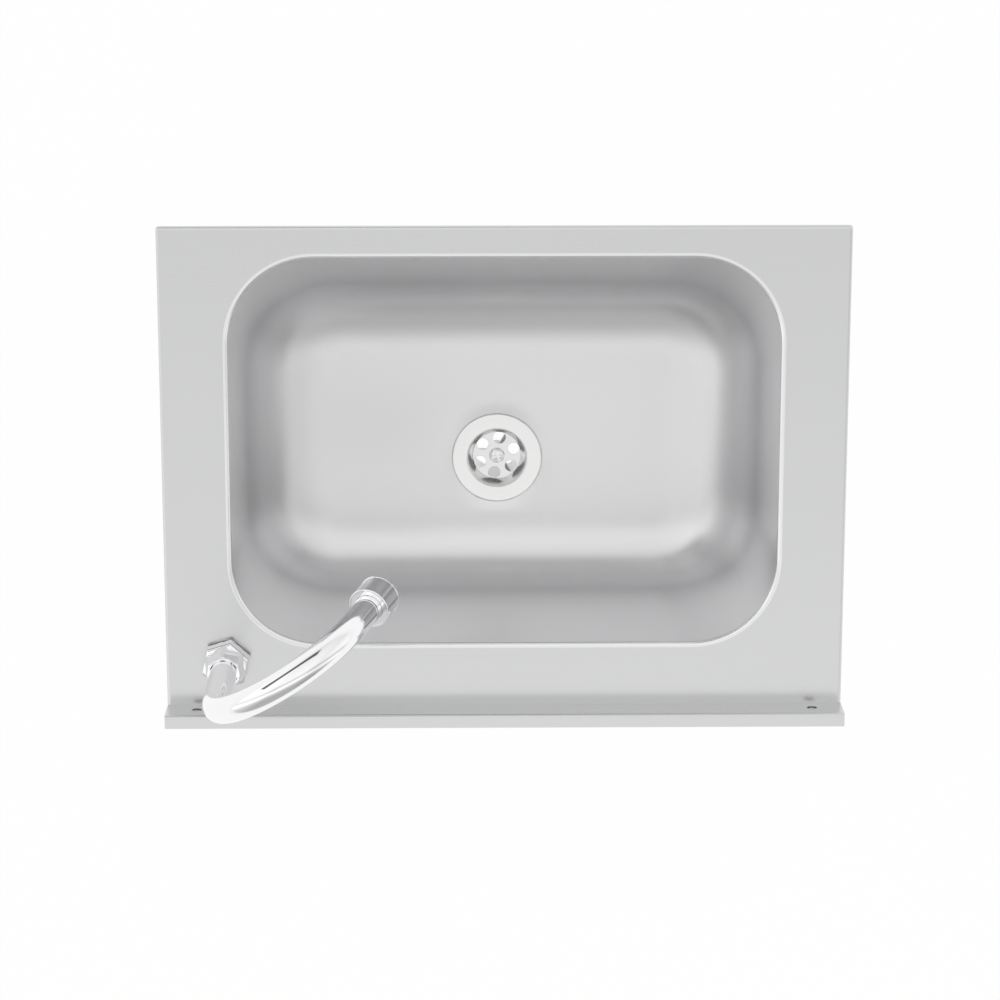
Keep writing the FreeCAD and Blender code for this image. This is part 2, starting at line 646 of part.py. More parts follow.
def makeWasteBody():
    body = newBody("waste_body")
    revolve(body, [
        ("tailBore", wasteBodyTop), ("wasteFlangeRadius", wasteBodyTop), ("wasteFlangeRadius", bodyFlangeUnder),
        ("tailRadius + 2", f"{bodyFlangeUnder} - 3"), ("tailRadius + 2", f"{bodyFlangeUnder} - 14"),
        ("tailRadius", f"{bodyFlangeUnder} - 16"), ("tailRadius", f"{tailEnd} + 1"),
        ("tailRadius - 1", tailEnd), ("tailBore", tailEnd),
    ])
    spokes = 3
    for k in range(spokes):
        spoke = newSketch(body, "XY_Plane", f"{spiderTop}")
        addPolygon(spoke, turned([
            ("0", "-spokeWidth / 2"), ("tailBore + 1", "-spokeWidth / 2"),
            ("tailBore + 1", "spokeWidth / 2"), ("0", "spokeWidth / 2"),
        ], 360 / spokes * k))
        feature(body, "Pad", spoke, Length="spiderHeight * 0.6", Reversed=True)
    boss = newSketch(body, "XY_Plane", f"{spiderTop}")
    addCircle(boss, "0", "0", "bossRadius")
    feature(body, "Pad", boss, Length="spiderHeight", Reversed=True)
    hole = newSketch(body, "XY_Plane", f"{spiderTop} + 1")
    addCircle(hole, "0", "0", "wasteScrewRadius + snugGap")
    feature(body, "Pocket", hole, Length="spiderHeight + 2")
    return placeOnWaste(body)


def turned(corners, turn):
    return [(f"(({x}) * cos({turn}) - ({y}) * sin({turn}))", f"(({x}) * sin({turn}) + ({y}) * cos({turn}))")
            for x, y in corners]


# ---------- tap base ----------
# Its pieces stand on the tap axis, with z = 0 on the worktop.

footTop = "(gasketThick + baseFlangeThick)"
threadTop = f"({footTop} + glandThreadHeight)"
collarLow = f"({threadTop} + runGap)"
collarTop = f"({collarLow} + tailCollarThick)"
bushTop = f"({collarTop} + bushThick)"
shankEnd = "(-sheetThick - shankLength)"
socketFloor = f"({threadTop} - socketDepth)"


def placeOnTap(body):
    place(body, tapX, tapY, "0")
    return body


def makeTapBase():
    body = newBody("tap_base")
    revolve(body, [
        ("socketRadius", threadTop), ("glandThreadRadius", threadTop), ("glandThreadRadius", footTop),
        ("baseFlangeRadius", footTop), ("baseFlangeRadius", "gasketThick"), ("halfInchRadius", "gasketThick"),
        ("halfInchRadius", f"{shankEnd} + 0.8"), ("halfInchRadius - 0.8", shankEnd), ("shankBore", shankEnd),
        ("shankBore", socketFloor), ("socketRadius", socketFloor),
    ])
    return placeOnTap(body)


def makeGlandNut():
    body = newBody("gland_nut")
    prism = newSketch(body, "XY_Plane", footTop)
    addPolygon(prism, hexagon("nutFlats", "nutTurn"))
    feature(body, "Pad", prism, Length=f"nutPrism - {footTop}")
    facets = newSketch(body, "XY_Plane", "nutPrism")
    addPolygon(facets, hexagon("nutFlats", "nutTurn"))
    rise = "(nutTop - nutCollarHeight - nutPrism)"
    draft = f"-atan((nutFlats / 2 - nutCollarRadius * cos(30)) / {rise})"
    feature(body, "Pad", facets, Length=rise, TaperAngle=draft)
    collar = newSketch(body, "XY_Plane", "nutTop - nutCollarHeight")
    addCircle(collar, "0", "0", "nutCollarRadius")
    feature(body, "Pad", collar, Length="nutCollarHeight")
    shoulder = f"{bushTop} + threadClearance"
    revolve(body, [
        ("0", footTop), ("glandThreadRadius + threadClearance", footTop),
        ("glandThreadRadius + threadClearance", shoulder), ("spoutRadius + runGap", shoulder),
        ("spoutRadius + runGap", "nutTop"), ("0", "nutTop"),
    ], kind="Groove")
    return placeOnTap(body)


# ---------- spout ----------

def placeOnSpout(body):
    place(body, tapX, tapY, "0", Rotation(Vector(0, 0, 1), 180 + value("spoutTurn")))
    return body


def makeSpoutTail():
    body = newBody("spout_tail")
    low = f"({socketFloor} + runGap)"
    corners = [("tailBoreRadius", low), ("tailSpigot", low)]
    for height in ringHeights():
        for radius, edge in (("tailSpigot", -1), (grooveRadius, -1), (grooveRadius, 1), ("tailSpigot", 1)):
            corners.append((radius, f"{height} + {edge} * (ringThick + snugGap)"))
    socket = "spoutRadius - spoutWall - snugGap"
    corners += [("tailSpigot", collarLow), ("tailCollar", collarLow), ("tailCollar", collarTop),
                (socket, collarTop), (socket, f"{collarTop} + 8"), ("tailBoreRadius", f"{collarTop} + 8")]
    revolve(body, corners)
    return placeOnSpout(body)


grooveRadius = "(socketRadius - 2 * ringThick - 2 * snugGap)"


def ringHeights():
    return [f"({socketFloor} + runGap + {share} * socketDepth)" for share in (0.22, 0.6)]


def makeSpoutRings():
    body = newBody("spout_o_rings", severalSolids=True)
    sketch = newSketch(body, "XZ_Plane")
    for height in ringHeights():
        addCircle(sketch, "socketRadius - snugGap - ringThick", height, "ringThick")
    feature(body, "Revolution", sketch, ReferenceAxis=(sketch, ["V_Axis"]), Angle="360")
    return placeOnSpout(body)


def makeSpoutTube():
    body = newBody("spout_tube")
    section = newSketch(body, "XY_Plane", collarTop)
    addCircle(section, "0", "0", "spoutRadius")
    addCircle(section, "0", "0", "spoutRadius - spoutWall")
    path = newSketch(body, "XZ_Plane")
    tipX = "spoutBend * (1 - cos(spoutSweep)) + (spoutEnd + aeratorSocket) * sin(spoutSweep)"
    tipZ = "spoutRise + spoutBend * sin(spoutSweep) + (spoutEnd + aeratorSocket) * cos(spoutSweep)"
    bendX = "spoutBend * (1 - cos(spoutSweep))"
    bendZ = "spoutRise + spoutBend * sin(spoutSweep)"
    start, rise = Vector(0, value(collarTop), 0), Vector(0, value("spoutRise"), 0)
    bendEnd, tip = Vector(value(bendX), value(bendZ), 0), Vector(value(tipX), value(tipZ), 0)
    circle = Part.Circle(Vector(value("spoutBend"), value("spoutRise"), 0), Vector(0, 0, 1), value("spoutBend"))
    stem = path.addGeometry(Part.LineSegment(start, rise), False)
    turn = math.radians(180 - value("spoutSweep"))
    bend = path.addGeometry(Part.ArcOfCircle(circle, turn, math.pi), False)
    end = path.addGeometry(Part.LineSegment(bendEnd, tip), False)
    lockPoint(path, stem, 1, "0", collarTop)
    lockPoint(path, bend, 3, "spoutBend", "spoutRise")
    path.addConstraint(Sketcher.Constraint("Coincident", stem, 2, bend, 2))
    lockPoint(path, stem, 2, "0", "spoutRise")
    path.addConstraint(Sketcher.Constraint("Coincident", bend, 1, end, 1))
    across = path.addConstraint(Sketcher.Constraint("DistanceX", -1, 1, end, 1, value(bendX)))
    bind(path, f"Constraints[{across}]", bendX)
    lockPoint(path, end, 2, tipX, tipZ)
    doc.recompute()
    pipe = body.newObject("PartDesign::AdditivePipe", "spout_tube_pipe")
    pipe.Profile = section
    pipe.Spine = path
    doc.recompute()
    return placeOnSpout(body)


def placeOnOutlet(body):
    # z = 0 on the aerator's rim, +z the way the water leaves
    reach = "(spoutBend * (1 - cos(spoutSweep)) + spoutEnd * sin(spoutSweep))"
    height = "spoutRise + spoutBend * sin(spoutSweep) + spoutEnd * cos(spoutSweep)"
    tilt = Rotation(Vector(0, 0, 1), 180 + value("spoutTurn")) * Rotation(Vector(0, 1, 0), value("spoutSweep"))
    place(body, f"{tapX} - {reach} * cos(spoutTurn)", f"{tapY} - {reach} * sin(spoutTurn)", height, tilt)
    return body


def makeAeratorHousing():
    body = newBody("aerator_housing")
    revolve(body, [
        ("spoutRadius + snugGap", "0"), ("aeratorNeckRadius", "0"), ("aeratorNeckRadius", "aeratorNeckHeight"),
        ("aeratorRadius - 0.6", "aeratorNeckHeight"), ("aeratorRadius", "aeratorNeckHeight + 0.6"),
        ("aeratorRadius", "aeratorLength - 0.6"), ("aeratorRadius - 0.6", "aeratorLength"),
        ("aeratorBore", "aeratorLength"), ("aeratorBore", "aeratorSocket"),
        ("spoutRadius + snugGap", "aeratorSocket"),
    ])
    return placeOnOutlet(body)


def makeAeratorInsert():
    body = newBody("aerator_insert")
    low = "(aeratorSocket + aeratorWasherThick)"
    sketch = newSketch(body, "XY_Plane", low)
    addCircle(sketch, "0", "0", "aeratorBore - snugGap")
    addCircle(sketch, "0", "0", "jetRadius")
    for k in range(8):
        addCircle(sketch, f"jetPitchRadius * cos({45 * k})", f"jetPitchRadius * sin({45 * k})", "jetRadius")
    feature(body, "Pad", sketch, Length=f"aeratorLength - aeratorLip - {low}")
    return placeOnOutlet(body)


# ---------- knee panel ----------

kneeHalf = f"({sideInnerX} - panelSideGap)"


def makeKneePanel():
    # z runs up the leaning panel from the pivot axis, y square to it, inwards
    body = newBody("knee_panel")
    face = "-pivotInset"
    sketch = newSketch(body, "YZ_Plane")
    addPolygon(sketch, [
        (face, "panelAbove"), (face, "-panelBelow"), (f"{face} + panelFlange", "-panelBelow"),
        (f"{face} + panelFlange", "-panelBelow + panelThick"), (f"{face} + panelThick", "-panelBelow + panelThick"),
        (f"{face} + panelThick", "panelAbove"),
    ])
    feature(body, "Pad", sketch, Length=f"2 * {kneeHalf}", Midplane=True)
    for start in (kneeHalf, f"-{kneeHalf} + panelThick"):
        flange = newSketch(body, "YZ_Plane", start)
        addPolygon(flange, [
            (face, "panelAbove"), (face, "-panelBelow"), (f"{face} + panelFlange", "-panelBelow"),
            (f"{face} + panelFlange", "panelFlange / 3"), (f"{face} + panelFlange / 2", "panelAbove"),
        ])
        feature(body, "Pad", flange, Length="panelThick", Reversed=True)
    half = value(kneeHalf)
    front = value(face)

    def fold(edge):
        middle = edge.CenterOfMass
        atSide = abs(abs(middle.x) - half) < EDGE_TOLERANCE
        upright = atSide and abs(middle.y - front) < EDGE_TOLERANCE and edge.Length > value("panelFlange")
        lower = isAt(edge, y=face, z="-panelBelow")
        lowerSide = atSide and isAt(edge, z="-panelBelow")
        return upright or lower or lowerSide

    roundEdges(body, "bendRadius", fold)
    holes = newSketch(body, "YZ_Plane")
    addCircle(holes, "0", "0", "pivotRadius + pivotClearance")
    feature(body, "Pocket", holes, Length="2 * deckWidth", Midplane=True)
    place(body, "0", pivotY, pivotZ, Rotation(Vector(1, 0, 0), value("frontLean")))
    return body


def makeKneeBumper():
    body = newBody("knee_bumper")
    sketch = newSketch(body, "YZ_Plane", "valveX")
    corners = []
    for share in (-1, 1):
        depth = f"(valveDrop + {share} * bumperHeight / 2)"
        sheetBack = f"-deckDepth + {depth} * {leanTan} + ({panelInset} + panelThick) / {leanCos}"
        pair = [(sheetBack, f"-{depth}"), (bumperFaceY, f"-{depth}")]
        corners += pair if share < 0 else pair[::-1]
    addPolygon(sketch, corners)
    feature(body, "Pad", sketch, Length="bumperWidth", Midplane=True)
    roundEdges(body, "1.5", lambda edge: isAt(edge, y=bumperFaceY))
    return body


def makePivots():
    pins = newBody("pivot_pins", severalSolids=True)
    washers = newBody("pivot_washers", severalSolids=True)
    nuts = newBody("pivot_nuts", severalSolids=True)
    inner = f"({kneeHalf} - panelThick - runGap)"
    for side in (1, -1):
        addPivotRing(pins, side, sideInnerX, "pivotReach", "pivotRadius")
        addPivotRing(washers, side, sideInnerX, "panelSideGap", "pivotWasherRadius", "pivotRadius + snugGap")
        nut = newSketch(nuts, "YZ_Plane", inner if side > 0 else f"-{inner} + pivotNutThick")
        addPolygon(nut, hexagon("pivotNutFlats"))
        addCircle(nut, "0", "0", "pivotRadius + snugGap")
        feature(nuts, "Pad", nut, Length="pivotNutThick", Reversed=True)
    for body in (pins, washers, nuts):
        place(body, "0", pivotY, pivotZ)
    return [pins, washers, nuts]


def addPivotRing(body, side, start, length, outer, inner=None):
    sketch = newSketch(body, "YZ_Plane", start if side > 0 else f"-{start} + {length}")
    addCircle(sketch, "0", "0", outer)
    if inner:
        addCircle(sketch, "0", "0", inner)
    feature(body, "Pad", sketch, Length=length, Reversed=True)


# ---------- knee valve ----------
# Its pieces lie on the valve axis: z = 0 at the bracket's back, +z towards the wall.

def placeOnValve(body):
    place(body, "valveX", valveY, valveZ, Rotation(Vector(1, 0, 0), -90))
    return body


def makeValveBody():
    body = newBody("knee_valve_body")
    bore = "stemRadius + stemClearance"
    boreEnd = "(-valveNeckLength + stemGrip + valveStroke + 1)"
    end = "(valveLength + inletLength)"
    floor = f"({end} - inletBoreDepth)"
    revolve(body, [
        (bore, "-valveNeckLength"), ("valveNeckRadius - 0.8", "-valveNeckLength"),
        ("valveNeckRadius", "-valveNeckLength + 0.8"), ("valveNeckRadius", "0"), ("valveBodyRadius", "0"),
        ("valveBodyRadius", "valveShoulder"), ("valveBarrelRadius", "valveShoulder + 1.5"),
        ("valveBarrelRadius", "valveLength"), ("halfInchRadius", "valveLength"),
        ("halfInchRadius", f"{end} - 1"), ("halfInchRadius - 1", end), ("0", end), ("0", boreEnd), (bore, boreEnd),
    ])
    outlet = newSketch(body, "YZ_Plane")
    addCircle(outlet, "0", "outletPlace", "halfInchRadius")
    feature(body, "Pad", outlet, Length="outletReach")
    bored = newSketch(body, "YZ_Plane", "outletReach")
    addCircle(bored, "0", "outletPlace", "pipeRadius")
    feature(body, "Pocket", bored, Length="outletReach")
    revolve(body, [("0", end), ("inletBore", end), ("inletBore", floor), ("0", f"{floor} - 3")], kind="Groove")
    return placeOnValve(body)


def makePushButton():
    body = newBody("push_button")
    back = "(-valveNeckLength - valveStroke - runGap)"
    rim = f"({back} - buttonThick)"
    revolve(body, [
        ("0", back), ("0", f"{rim} - buttonDome"), ("buttonRadius / 5", f"{rim} - buttonDome"),
        ("buttonRadius", rim), ("buttonRadius", back),
    ])
    return placeOnValve(body)


def makePushStem():
    body = newBody("push_stem")
    sketch = newSketch(body, "XY_Plane", "-valveNeckLength - valveStroke - runGap")
    addCircle(sketch, "0", "0", "stemRadius")
    feature(body, "Pad", sketch, Length="valveStroke + runGap + stemGrip")
    return placeOnValve(body)


def makeValveBracket():
    body = newBody("valve_bracket")
    plate = newSketch(body, "XZ_Plane")
    left = "(valveX - bracketMargin)"
    addPolygon(plate, [
        (left, "-bracketHeight / 2"), (sideInnerX, "-bracketHeight / 2"),
        (sideInnerX, "bracketHeight / 2"), (left, "bracketHeight / 2"),
    ])
    feature(body, "Pad", plate, Length="bracketThick")
    flange = newSketch(body, "YZ_Plane", sideInnerX)
    addPolygon(flange, [
        ("-bracketThick", "-bracketHeight / 2"), ("bracketFlange", "-bracketHeight / 2"),
        ("bracketFlange", "bracketHeight / 2"), ("-bracketThick", "bracketHeight / 2"),
    ])
    feature(body, "Pad", flange, Length="bracketThick", Reversed=True)
    roundEdges(body, "bracketHeight / 6", lambda edge: isAt(edge, x=left) and edge.Length < 2)
    roundEdges(body, "bendRadius", lambda edge: isAt(edge, x=sideInnerX, y="-bracketThick"))
    hole = newSketch(body, "XZ_Plane", "bracketThick + 1")
    addCircle(hole, "valveX", "0", "valveNeckRadius + threadClearance")
    feature(body, "Pocket", hole, Length="bracketThick + 2")
    place(body, "0", valveY, valveZ)
    return body


# ---------- feed pipe ----------

def makeUnion(name, x, y, z, rotation):
    # z = 0 on the end of the threaded stub, the pipe leaves towards -z
    nut = newBody(f"{name}_pipe_nut")
    prism = newSketch(nut, "XY_Plane", "-pipeNutCap")
    addPolygon(prism, hexagon("pipeNutFlats"))
    feature(nut, "Pad", prism, Length="pipeNutCap + pipeNutThread")
    thread = "halfInchRadius + threadClearance"
    wall = "-pipeNutCap + pipeNutWall"
    revolve(nut, [
        ("0", "pipeNutThread"), (thread, "pipeNutThread"), (thread, wall),
        ("pipeRadius + snugGap", wall), ("pipeRadius + snugGap", "-pipeNutCap"), ("0", "-pipeNutCap"),
    ], kind="Groove")
    seal = ring(f"{name}_pipe_seal", "pipeRadius + snugGap", "halfInchRadius", wall, "0")
    for body in (nut, seal):
        place(body, x, y, z, rotation)
    return [nut, seal]


def makeFeedPipe():
    # down from the tap shank, forward under the bowl's corner, then across to the valve
    corners = [Vector(value(tapX), value(tapY), value(shankEnd)), Vector(value(tapX), value(tapY), value(valveZ)),
               Vector(value(tapX), value(outletY), value(valveZ)),
               Vector(value("valveX + outletReach"), value(outletY), value(valveZ))]
    path = roundedPath(corners, value("pipeBend"))
    direction = corners[1] - corners[0]
    solids = []
    for radius in (value("pipeRadius"), value("pipeRadius - pipeWall")):
        section = Part.Wire(Part.makeCircle(radius, corners[0], direction))
        solids.append(path.makePipeShell([section], True, False))
    pipe = doc.addObject("Part::Feature", "feed_pipe")
    pipe.Label = "feed_pipe"
    pipe.Shape = solids[0].cut(solids[1])
    return pipe


def roundedPath(corners, radius):
    edges = []
    start = corners[0]
    for before, corner, after in zip(corners, corners[1:], corners[2:]):
        inward = (before - corner).normalize()
        onward = (after - corner).normalize()
        half = inward.getAngle(onward) / 2
        reach = radius / math.tan(half)
        first, last = corner + inward * reach, corner + onward * reach
        middle = corner + (inward + onward).normalize() * (radius / math.sin(half) - radius)
        edges.append(Part.makeLine(start, first))
        edges.append(Part.Arc(first, middle, last).toShape())
        start = last
    edges.append(Part.makeLine(start, corners[-1]))
    return Part.Wire(edges)


def write(parts):
    os.makedirs("parts", exist_ok=True)
    doc.recompute()
    for thing in doc.Objects:
        if "Invalid" in thing.State or "Error" in thing.State:
            raise ValueError(f"{thing.Label} did not build: {thing.State}")
    for part in parts:
        if part.Shape.isNull() or not part.Shape.isValid():
            raise ValueError(f"{part.Label} has no valid shape")
        part.Shape.exportStep(f"parts/{part.Label}.step")
        box = part.Shape.BoundBox
        print(f"{part.Label}: {len(part.Shape.Solids)} solid, {part.Shape.Volume:.1f} mm3",
              [round(side, 1) for side in (box.XMin, box.XMax, box.YMin, box.YMax, box.ZMin, box.ZMax)])


def makeSink():
    parts = [makeWorktop(), makeBowl(), makeSidePanel(1), makeSidePanel(-1), makeRearRail()]
    seal = "wasteFlangeRadius - 1"
    cupSide = "wasteMouthRadius + cupThick + 0.5"
    parts += [
        makeWasteCup(), makeWasteScrew(), makeWasteBody(),
        placeOnWaste(ring("upper_waste_seal", cupSide, seal, "0", "upperSealThick")),
        placeOnWaste(ring("lower_waste_seal", cupSide, seal, wasteBodyTop, "-sheetThick")),
    ]
    under = "-sheetThick - backWasherThick"
    threadBore = "halfInchRadius + threadClearance"
    parts += [
        makeTapBase(), makeGlandNut(),
        placeOnTap(ring("base_gasket", threadBore, "gasketRadius", "0", "gasketThick")),
        placeOnTap(ring("back_washer", threadBore, "backWasherRadius", under, "-sheetThick")),
        placeOnTap(hexNut("back_nut", "backNutFlats", "backNutThick", threadBore, f"{under} - backNutThick")),
    ]
    parts += [
        makeSpoutTube(), makeSpoutTail(), makeSpoutRings(),
        placeOnSpout(ring("spout_bush", "spoutRadius + snugGap", "tailCollar", collarTop, bushTop)),
        makeAeratorHousing(), makeAeratorInsert(),
        placeOnOutlet(ring("aerator_washer", "spoutRadius - spoutWall", "aeratorBore - snugGap",
                           "aeratorSocket", "aeratorSocket + aeratorWasherThick")),
    ]
    parts += [makeKneePanel(), makeKneeBumper()] + makePivots()
    neckBore = "valveNeckRadius + threadClearance"
    parts += [
        makeValveBody(), makePushButton(), makePushStem(), makeValveBracket(),
        placeOnValve(hexNut("valve_lock_nut", "lockNutFlats", "lockNutThick", neckBore,
                            "-bracketThick - lockNutThick")),
    ]
    parts += makeUnion("upper", tapX, tapY, shankEnd, Rotation())
    parts += makeUnion("lower", "valveX + outletReach", outletY, valveZ, Rotation(Vector(0, 1, 0), -90))
    parts.append(makeFeedPipe())
    return parts


write(makeSink())
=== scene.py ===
import bpy
import json
import math
from mathutils import Matrix, Vector

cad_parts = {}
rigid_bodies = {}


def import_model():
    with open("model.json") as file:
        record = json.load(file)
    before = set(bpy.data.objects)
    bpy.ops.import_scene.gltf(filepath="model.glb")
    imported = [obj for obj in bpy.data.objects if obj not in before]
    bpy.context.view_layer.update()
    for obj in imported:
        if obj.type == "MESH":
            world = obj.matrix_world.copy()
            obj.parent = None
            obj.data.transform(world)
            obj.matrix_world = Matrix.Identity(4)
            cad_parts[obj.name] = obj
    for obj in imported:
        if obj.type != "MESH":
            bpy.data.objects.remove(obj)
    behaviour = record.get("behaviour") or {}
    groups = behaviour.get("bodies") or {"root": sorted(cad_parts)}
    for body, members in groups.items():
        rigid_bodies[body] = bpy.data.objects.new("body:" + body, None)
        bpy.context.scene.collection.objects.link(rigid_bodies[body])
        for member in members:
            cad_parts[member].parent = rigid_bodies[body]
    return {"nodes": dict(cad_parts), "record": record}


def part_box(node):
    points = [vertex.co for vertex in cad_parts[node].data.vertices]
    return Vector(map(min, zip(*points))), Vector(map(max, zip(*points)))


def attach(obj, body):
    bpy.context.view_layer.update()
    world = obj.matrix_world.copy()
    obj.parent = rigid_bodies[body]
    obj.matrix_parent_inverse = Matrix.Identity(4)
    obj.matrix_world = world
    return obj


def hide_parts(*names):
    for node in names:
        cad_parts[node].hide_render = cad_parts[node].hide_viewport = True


mm = 0.001

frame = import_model()
nodes = frame["nodes"]
# whatever Blender's start-up file brought along goes
for leftover in [o for o in bpy.data.objects if o.name not in nodes and not o.name.startswith("body:")]:
    bpy.data.objects.remove(leftover)
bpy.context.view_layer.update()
print("frame loaded:", len(nodes), "nodes")


class Wire:
    # one output of a shader tree; an expression on wires adds Math nodes
    def __init__(self, tree, output=None):
        self.tree = tree
        self.output = output

    def node(self, kind, settings=None, feeds=None, out=0):
        # settings come first, then each socket gets its value or its link
        made = self.tree.nodes.new("ShaderNode" + kind)
        for name, setting in (settings or {}).items():
            if name == "stops":
                self.setStops(made.color_ramp, setting)
            else:
                setattr(made, name, setting)
        for name, feed in (feeds or {}).items():
            if isinstance(feed, Wire):
                self.tree.links.new(feed.output, made.inputs[name])
            else:
                made.inputs[name].default_value = feed
        return Wire(self.tree, made.outputs[out] if made.outputs else None)

    def setStops(self, ramp, stops):
        while len(ramp.elements) > 1:
            ramp.elements.remove(ramp.elements[-1])
        ramp.elements[0].position = stops[0][0]
        ramp.elements[0].color = shade(stops[0][1])
        for place, tone in stops[1:]:
            ramp.elements.new(place).color = shade(tone)

    def beside(self, name):
        # another output of the same node
        return Wire(self.tree, self.output.node.outputs[name])

    def reckon(self, operation, first, second, clamp=False):
        return self.node("Math", {"operation": operation, "use_clamp": clamp}, {0: first, 1: second})

    def __add__(self, other):
        return self.reckon("ADD", self, other)

    def __radd__(self, other):
        return self.reckon("ADD", other, self)

    def __sub__(self, other):
        return self.reckon("SUBTRACT", self, other)

    def __rsub__(self, other):
        return self.reckon("SUBTRACT", other, self)

    def __mul__(self, other):
        return self.reckon("MULTIPLY", self, other)

    def __rmul__(self, other):
        return self.reckon("MULTIPLY", other, self)


def shade(tone):
    # one number is a grey
    if isinstance(tone, (int, float)):
        return (tone, tone, tone, 1)
    return (*tone, 1)


# grain is fine noise, its waves per metre given along x, y and z; wave is slow unevenness
# the depths go into the bump, roughSpread lets both vary the roughness
finishes = {
    "deckSteel": dict(colour=(0.700, 0.702, 0.705), metal=1, rough=0.28, roughSpread=0.03,
                      grain=(14, 1100, 1100), grainDepth=0.05, wave=6, waveDepth=0.02),
    "sideSteel": dict(colour=(0.700, 0.702, 0.705), metal=1, rough=0.28, roughSpread=0.03,
                      grain=(1100, 14, 1100), grainDepth=0.05, wave=6, waveDepth=0.02),
    # a paler, glossier copy of the bowl steel for the rim's upper fold: a painted highlight
    "rimPaintedHighlight": dict(colour=(0.86, 0.86, 0.86), metal=1, rough=0.24, roughSpread=0.04,
                     grain=(260, 260, 260), grainDepth=0.03, wave=14, waveDepth=0.02),
    "bowlSteel": dict(colour=(0.780, 0.780, 0.786), metal=1, rough=0.34, roughSpread=0.06,
                      grain=(260, 260, 260), grainDepth=0.05, wave=14, waveDepth=0.06),
    "chrome": dict(colour=(0.93, 0.93, 0.94), metal=1, rough=0.045, roughSpread=0.02,
                   grain=(300, 300, 300), grainDepth=0.0, wave=30, waveDepth=0.01),
    "polishedSteel": dict(colour=(0.84, 0.84, 0.84), metal=1, rough=0.12, roughSpread=0.03,
                          grain=(200, 200, 200), grainDepth=0.03, wave=30, waveDepth=0.01),
    "satinSteel": dict(colour=(0.90, 0.895, 0.89), metal=1, rough=0.25, roughSpread=0.03,
                       grain=(200, 200, 200), grainDepth=0.03, wave=30, waveDepth=0.01),
    "brightSteel": dict(colour=(0.84, 0.84, 0.85), metal=1, rough=0.06, roughSpread=0.02,
                        grain=(300, 300, 300), grainDepth=0.01, wave=30, waveDepth=0.01),
    "boltSteel": dict(colour=(0.62, 0.62, 0.64), metal=1, rough=0.30, roughSpread=0.05,
                      grain=(400, 400, 400), grainDepth=0.05, wave=60, waveDepth=0.02),
    "brass": dict(colour=(0.72, 0.56, 0.29), metal=1, rough=0.28, roughSpread=0.08,
                  grain=(500, 500, 500), grainDepth=0.06, wave=60, waveDepth=0.02),
    "copper": dict(colour=(0.72, 0.42, 0.28), metal=1, rough=0.30, roughSpread=0.12,
                   grain=(200, 200, 200), grainDepth=0.05, wave=40, waveDepth=0.03),
    "whitePlastic": dict(colour=(0.80, 0.80, 0.78), metal=0, rough=0.48, roughSpread=0.05,
                         grain=(900, 900, 900), grainDepth=0.05, wave=40, waveDepth=0.01),
    "glossPlastic": dict(colour=(0.86, 0.86, 0.85), metal=0, rough=0.07, roughSpread=0.02,
                         grain=(400, 400, 400), grainDepth=0.01, wave=40, waveDepth=0.01, coat=1.0),
    "darkPlastic": dict(colour=(0.030, 0.030, 0.033), metal=0, rough=0.42, roughSpread=0.06,
                        grain=(900, 900, 900), grainDepth=0.08, wave=40, waveDepth=0.01),
    "blackRubber": dict(colour=(0.018, 0.018, 0.020), metal=0, rough=0.62, roughSpread=0.08,
                        grain=(1400, 1400, 1400), grainDepth=0.12, wave=50, waveDepth=0.02),
    "greyRubber": dict(colour=(0.20, 0.205, 0.21), metal=0, rough=0.60, roughSpread=0.08,
                       grain=(1400, 1400, 1400), grainDepth=0.10, wave=50, waveDepth=0.02),
}
surface = dict(grainDetail=3.0, grainRoughness=0.6, waveDetail=2.0, darkest=0.985, palest=1.012,
               waveHeight=20, bumpStrength=0.25, bumpDistance=0.0002)
madeFinishes = {}


def finish(name):
    if name in madeFinishes:
        return madeFinishes[name]
    look = finishes[name]
    material = bpy.data.materials.new(name)
    material.use_nodes = True
    tree = material.node_tree
    shader = tree.nodes["Principled BSDF"]
    wire = Wire(tree)
    place = wire.node("TexCoord", out="Object")
    stretched = wire.node("Mapping", None, {"Vector": place, "Scale": look["grain"]})
    grain = wire.node("TexNoise", None, {"Vector": stretched, "Scale": 1.0,
                                         "Detail": surface["grainDetail"],
                                         "Roughness": surface["grainRoughness"]})
    waves = wire.node("TexNoise", None, {"Vector": place, "Scale": float(look["wave"]),
                                         "Detail": surface["waveDetail"]})
    rough = look["rough"] + (waves - 0.5) * look["roughSpread"] + (grain - 0.5) * look["roughSpread"]
    dark = [channel * surface["darkest"] for channel in look["colour"]]
    pale = [min(1, channel * surface["palest"]) for channel in look["colour"]]
    # sockets 6 and 7 are the Mix node's colours, output 2 its colour result
    blend = grain * 0.5 + waves * 0.5
    tint = wire.node("Mix", {"data_type": "RGBA"}, {0: blend, 6: shade(dark), 7: shade(pale)}, out=2)
    height = grain * look["grainDepth"] + waves * look["waveDepth"] * surface["waveHeight"]
    bump = wire.node("Bump", None, {"Height": height, "Strength": surface["bumpStrength"],
                                    "Distance": surface["bumpDistance"]})
    shader.inputs["Metallic"].default_value = look["metal"]
    shader.inputs["Coat Weight"].default_value = look.get("coat", 0)
    for socket, feed in (("Base Color", tint), ("Roughness", rough), ("Normal", bump)):
        tree.links.new(feed.output, shader.inputs[socket])
    madeFinishes[name] = material
    return material


def paint(piece, name):
    piece.data.materials.clear()
    piece.data.materials.append(finish(name))


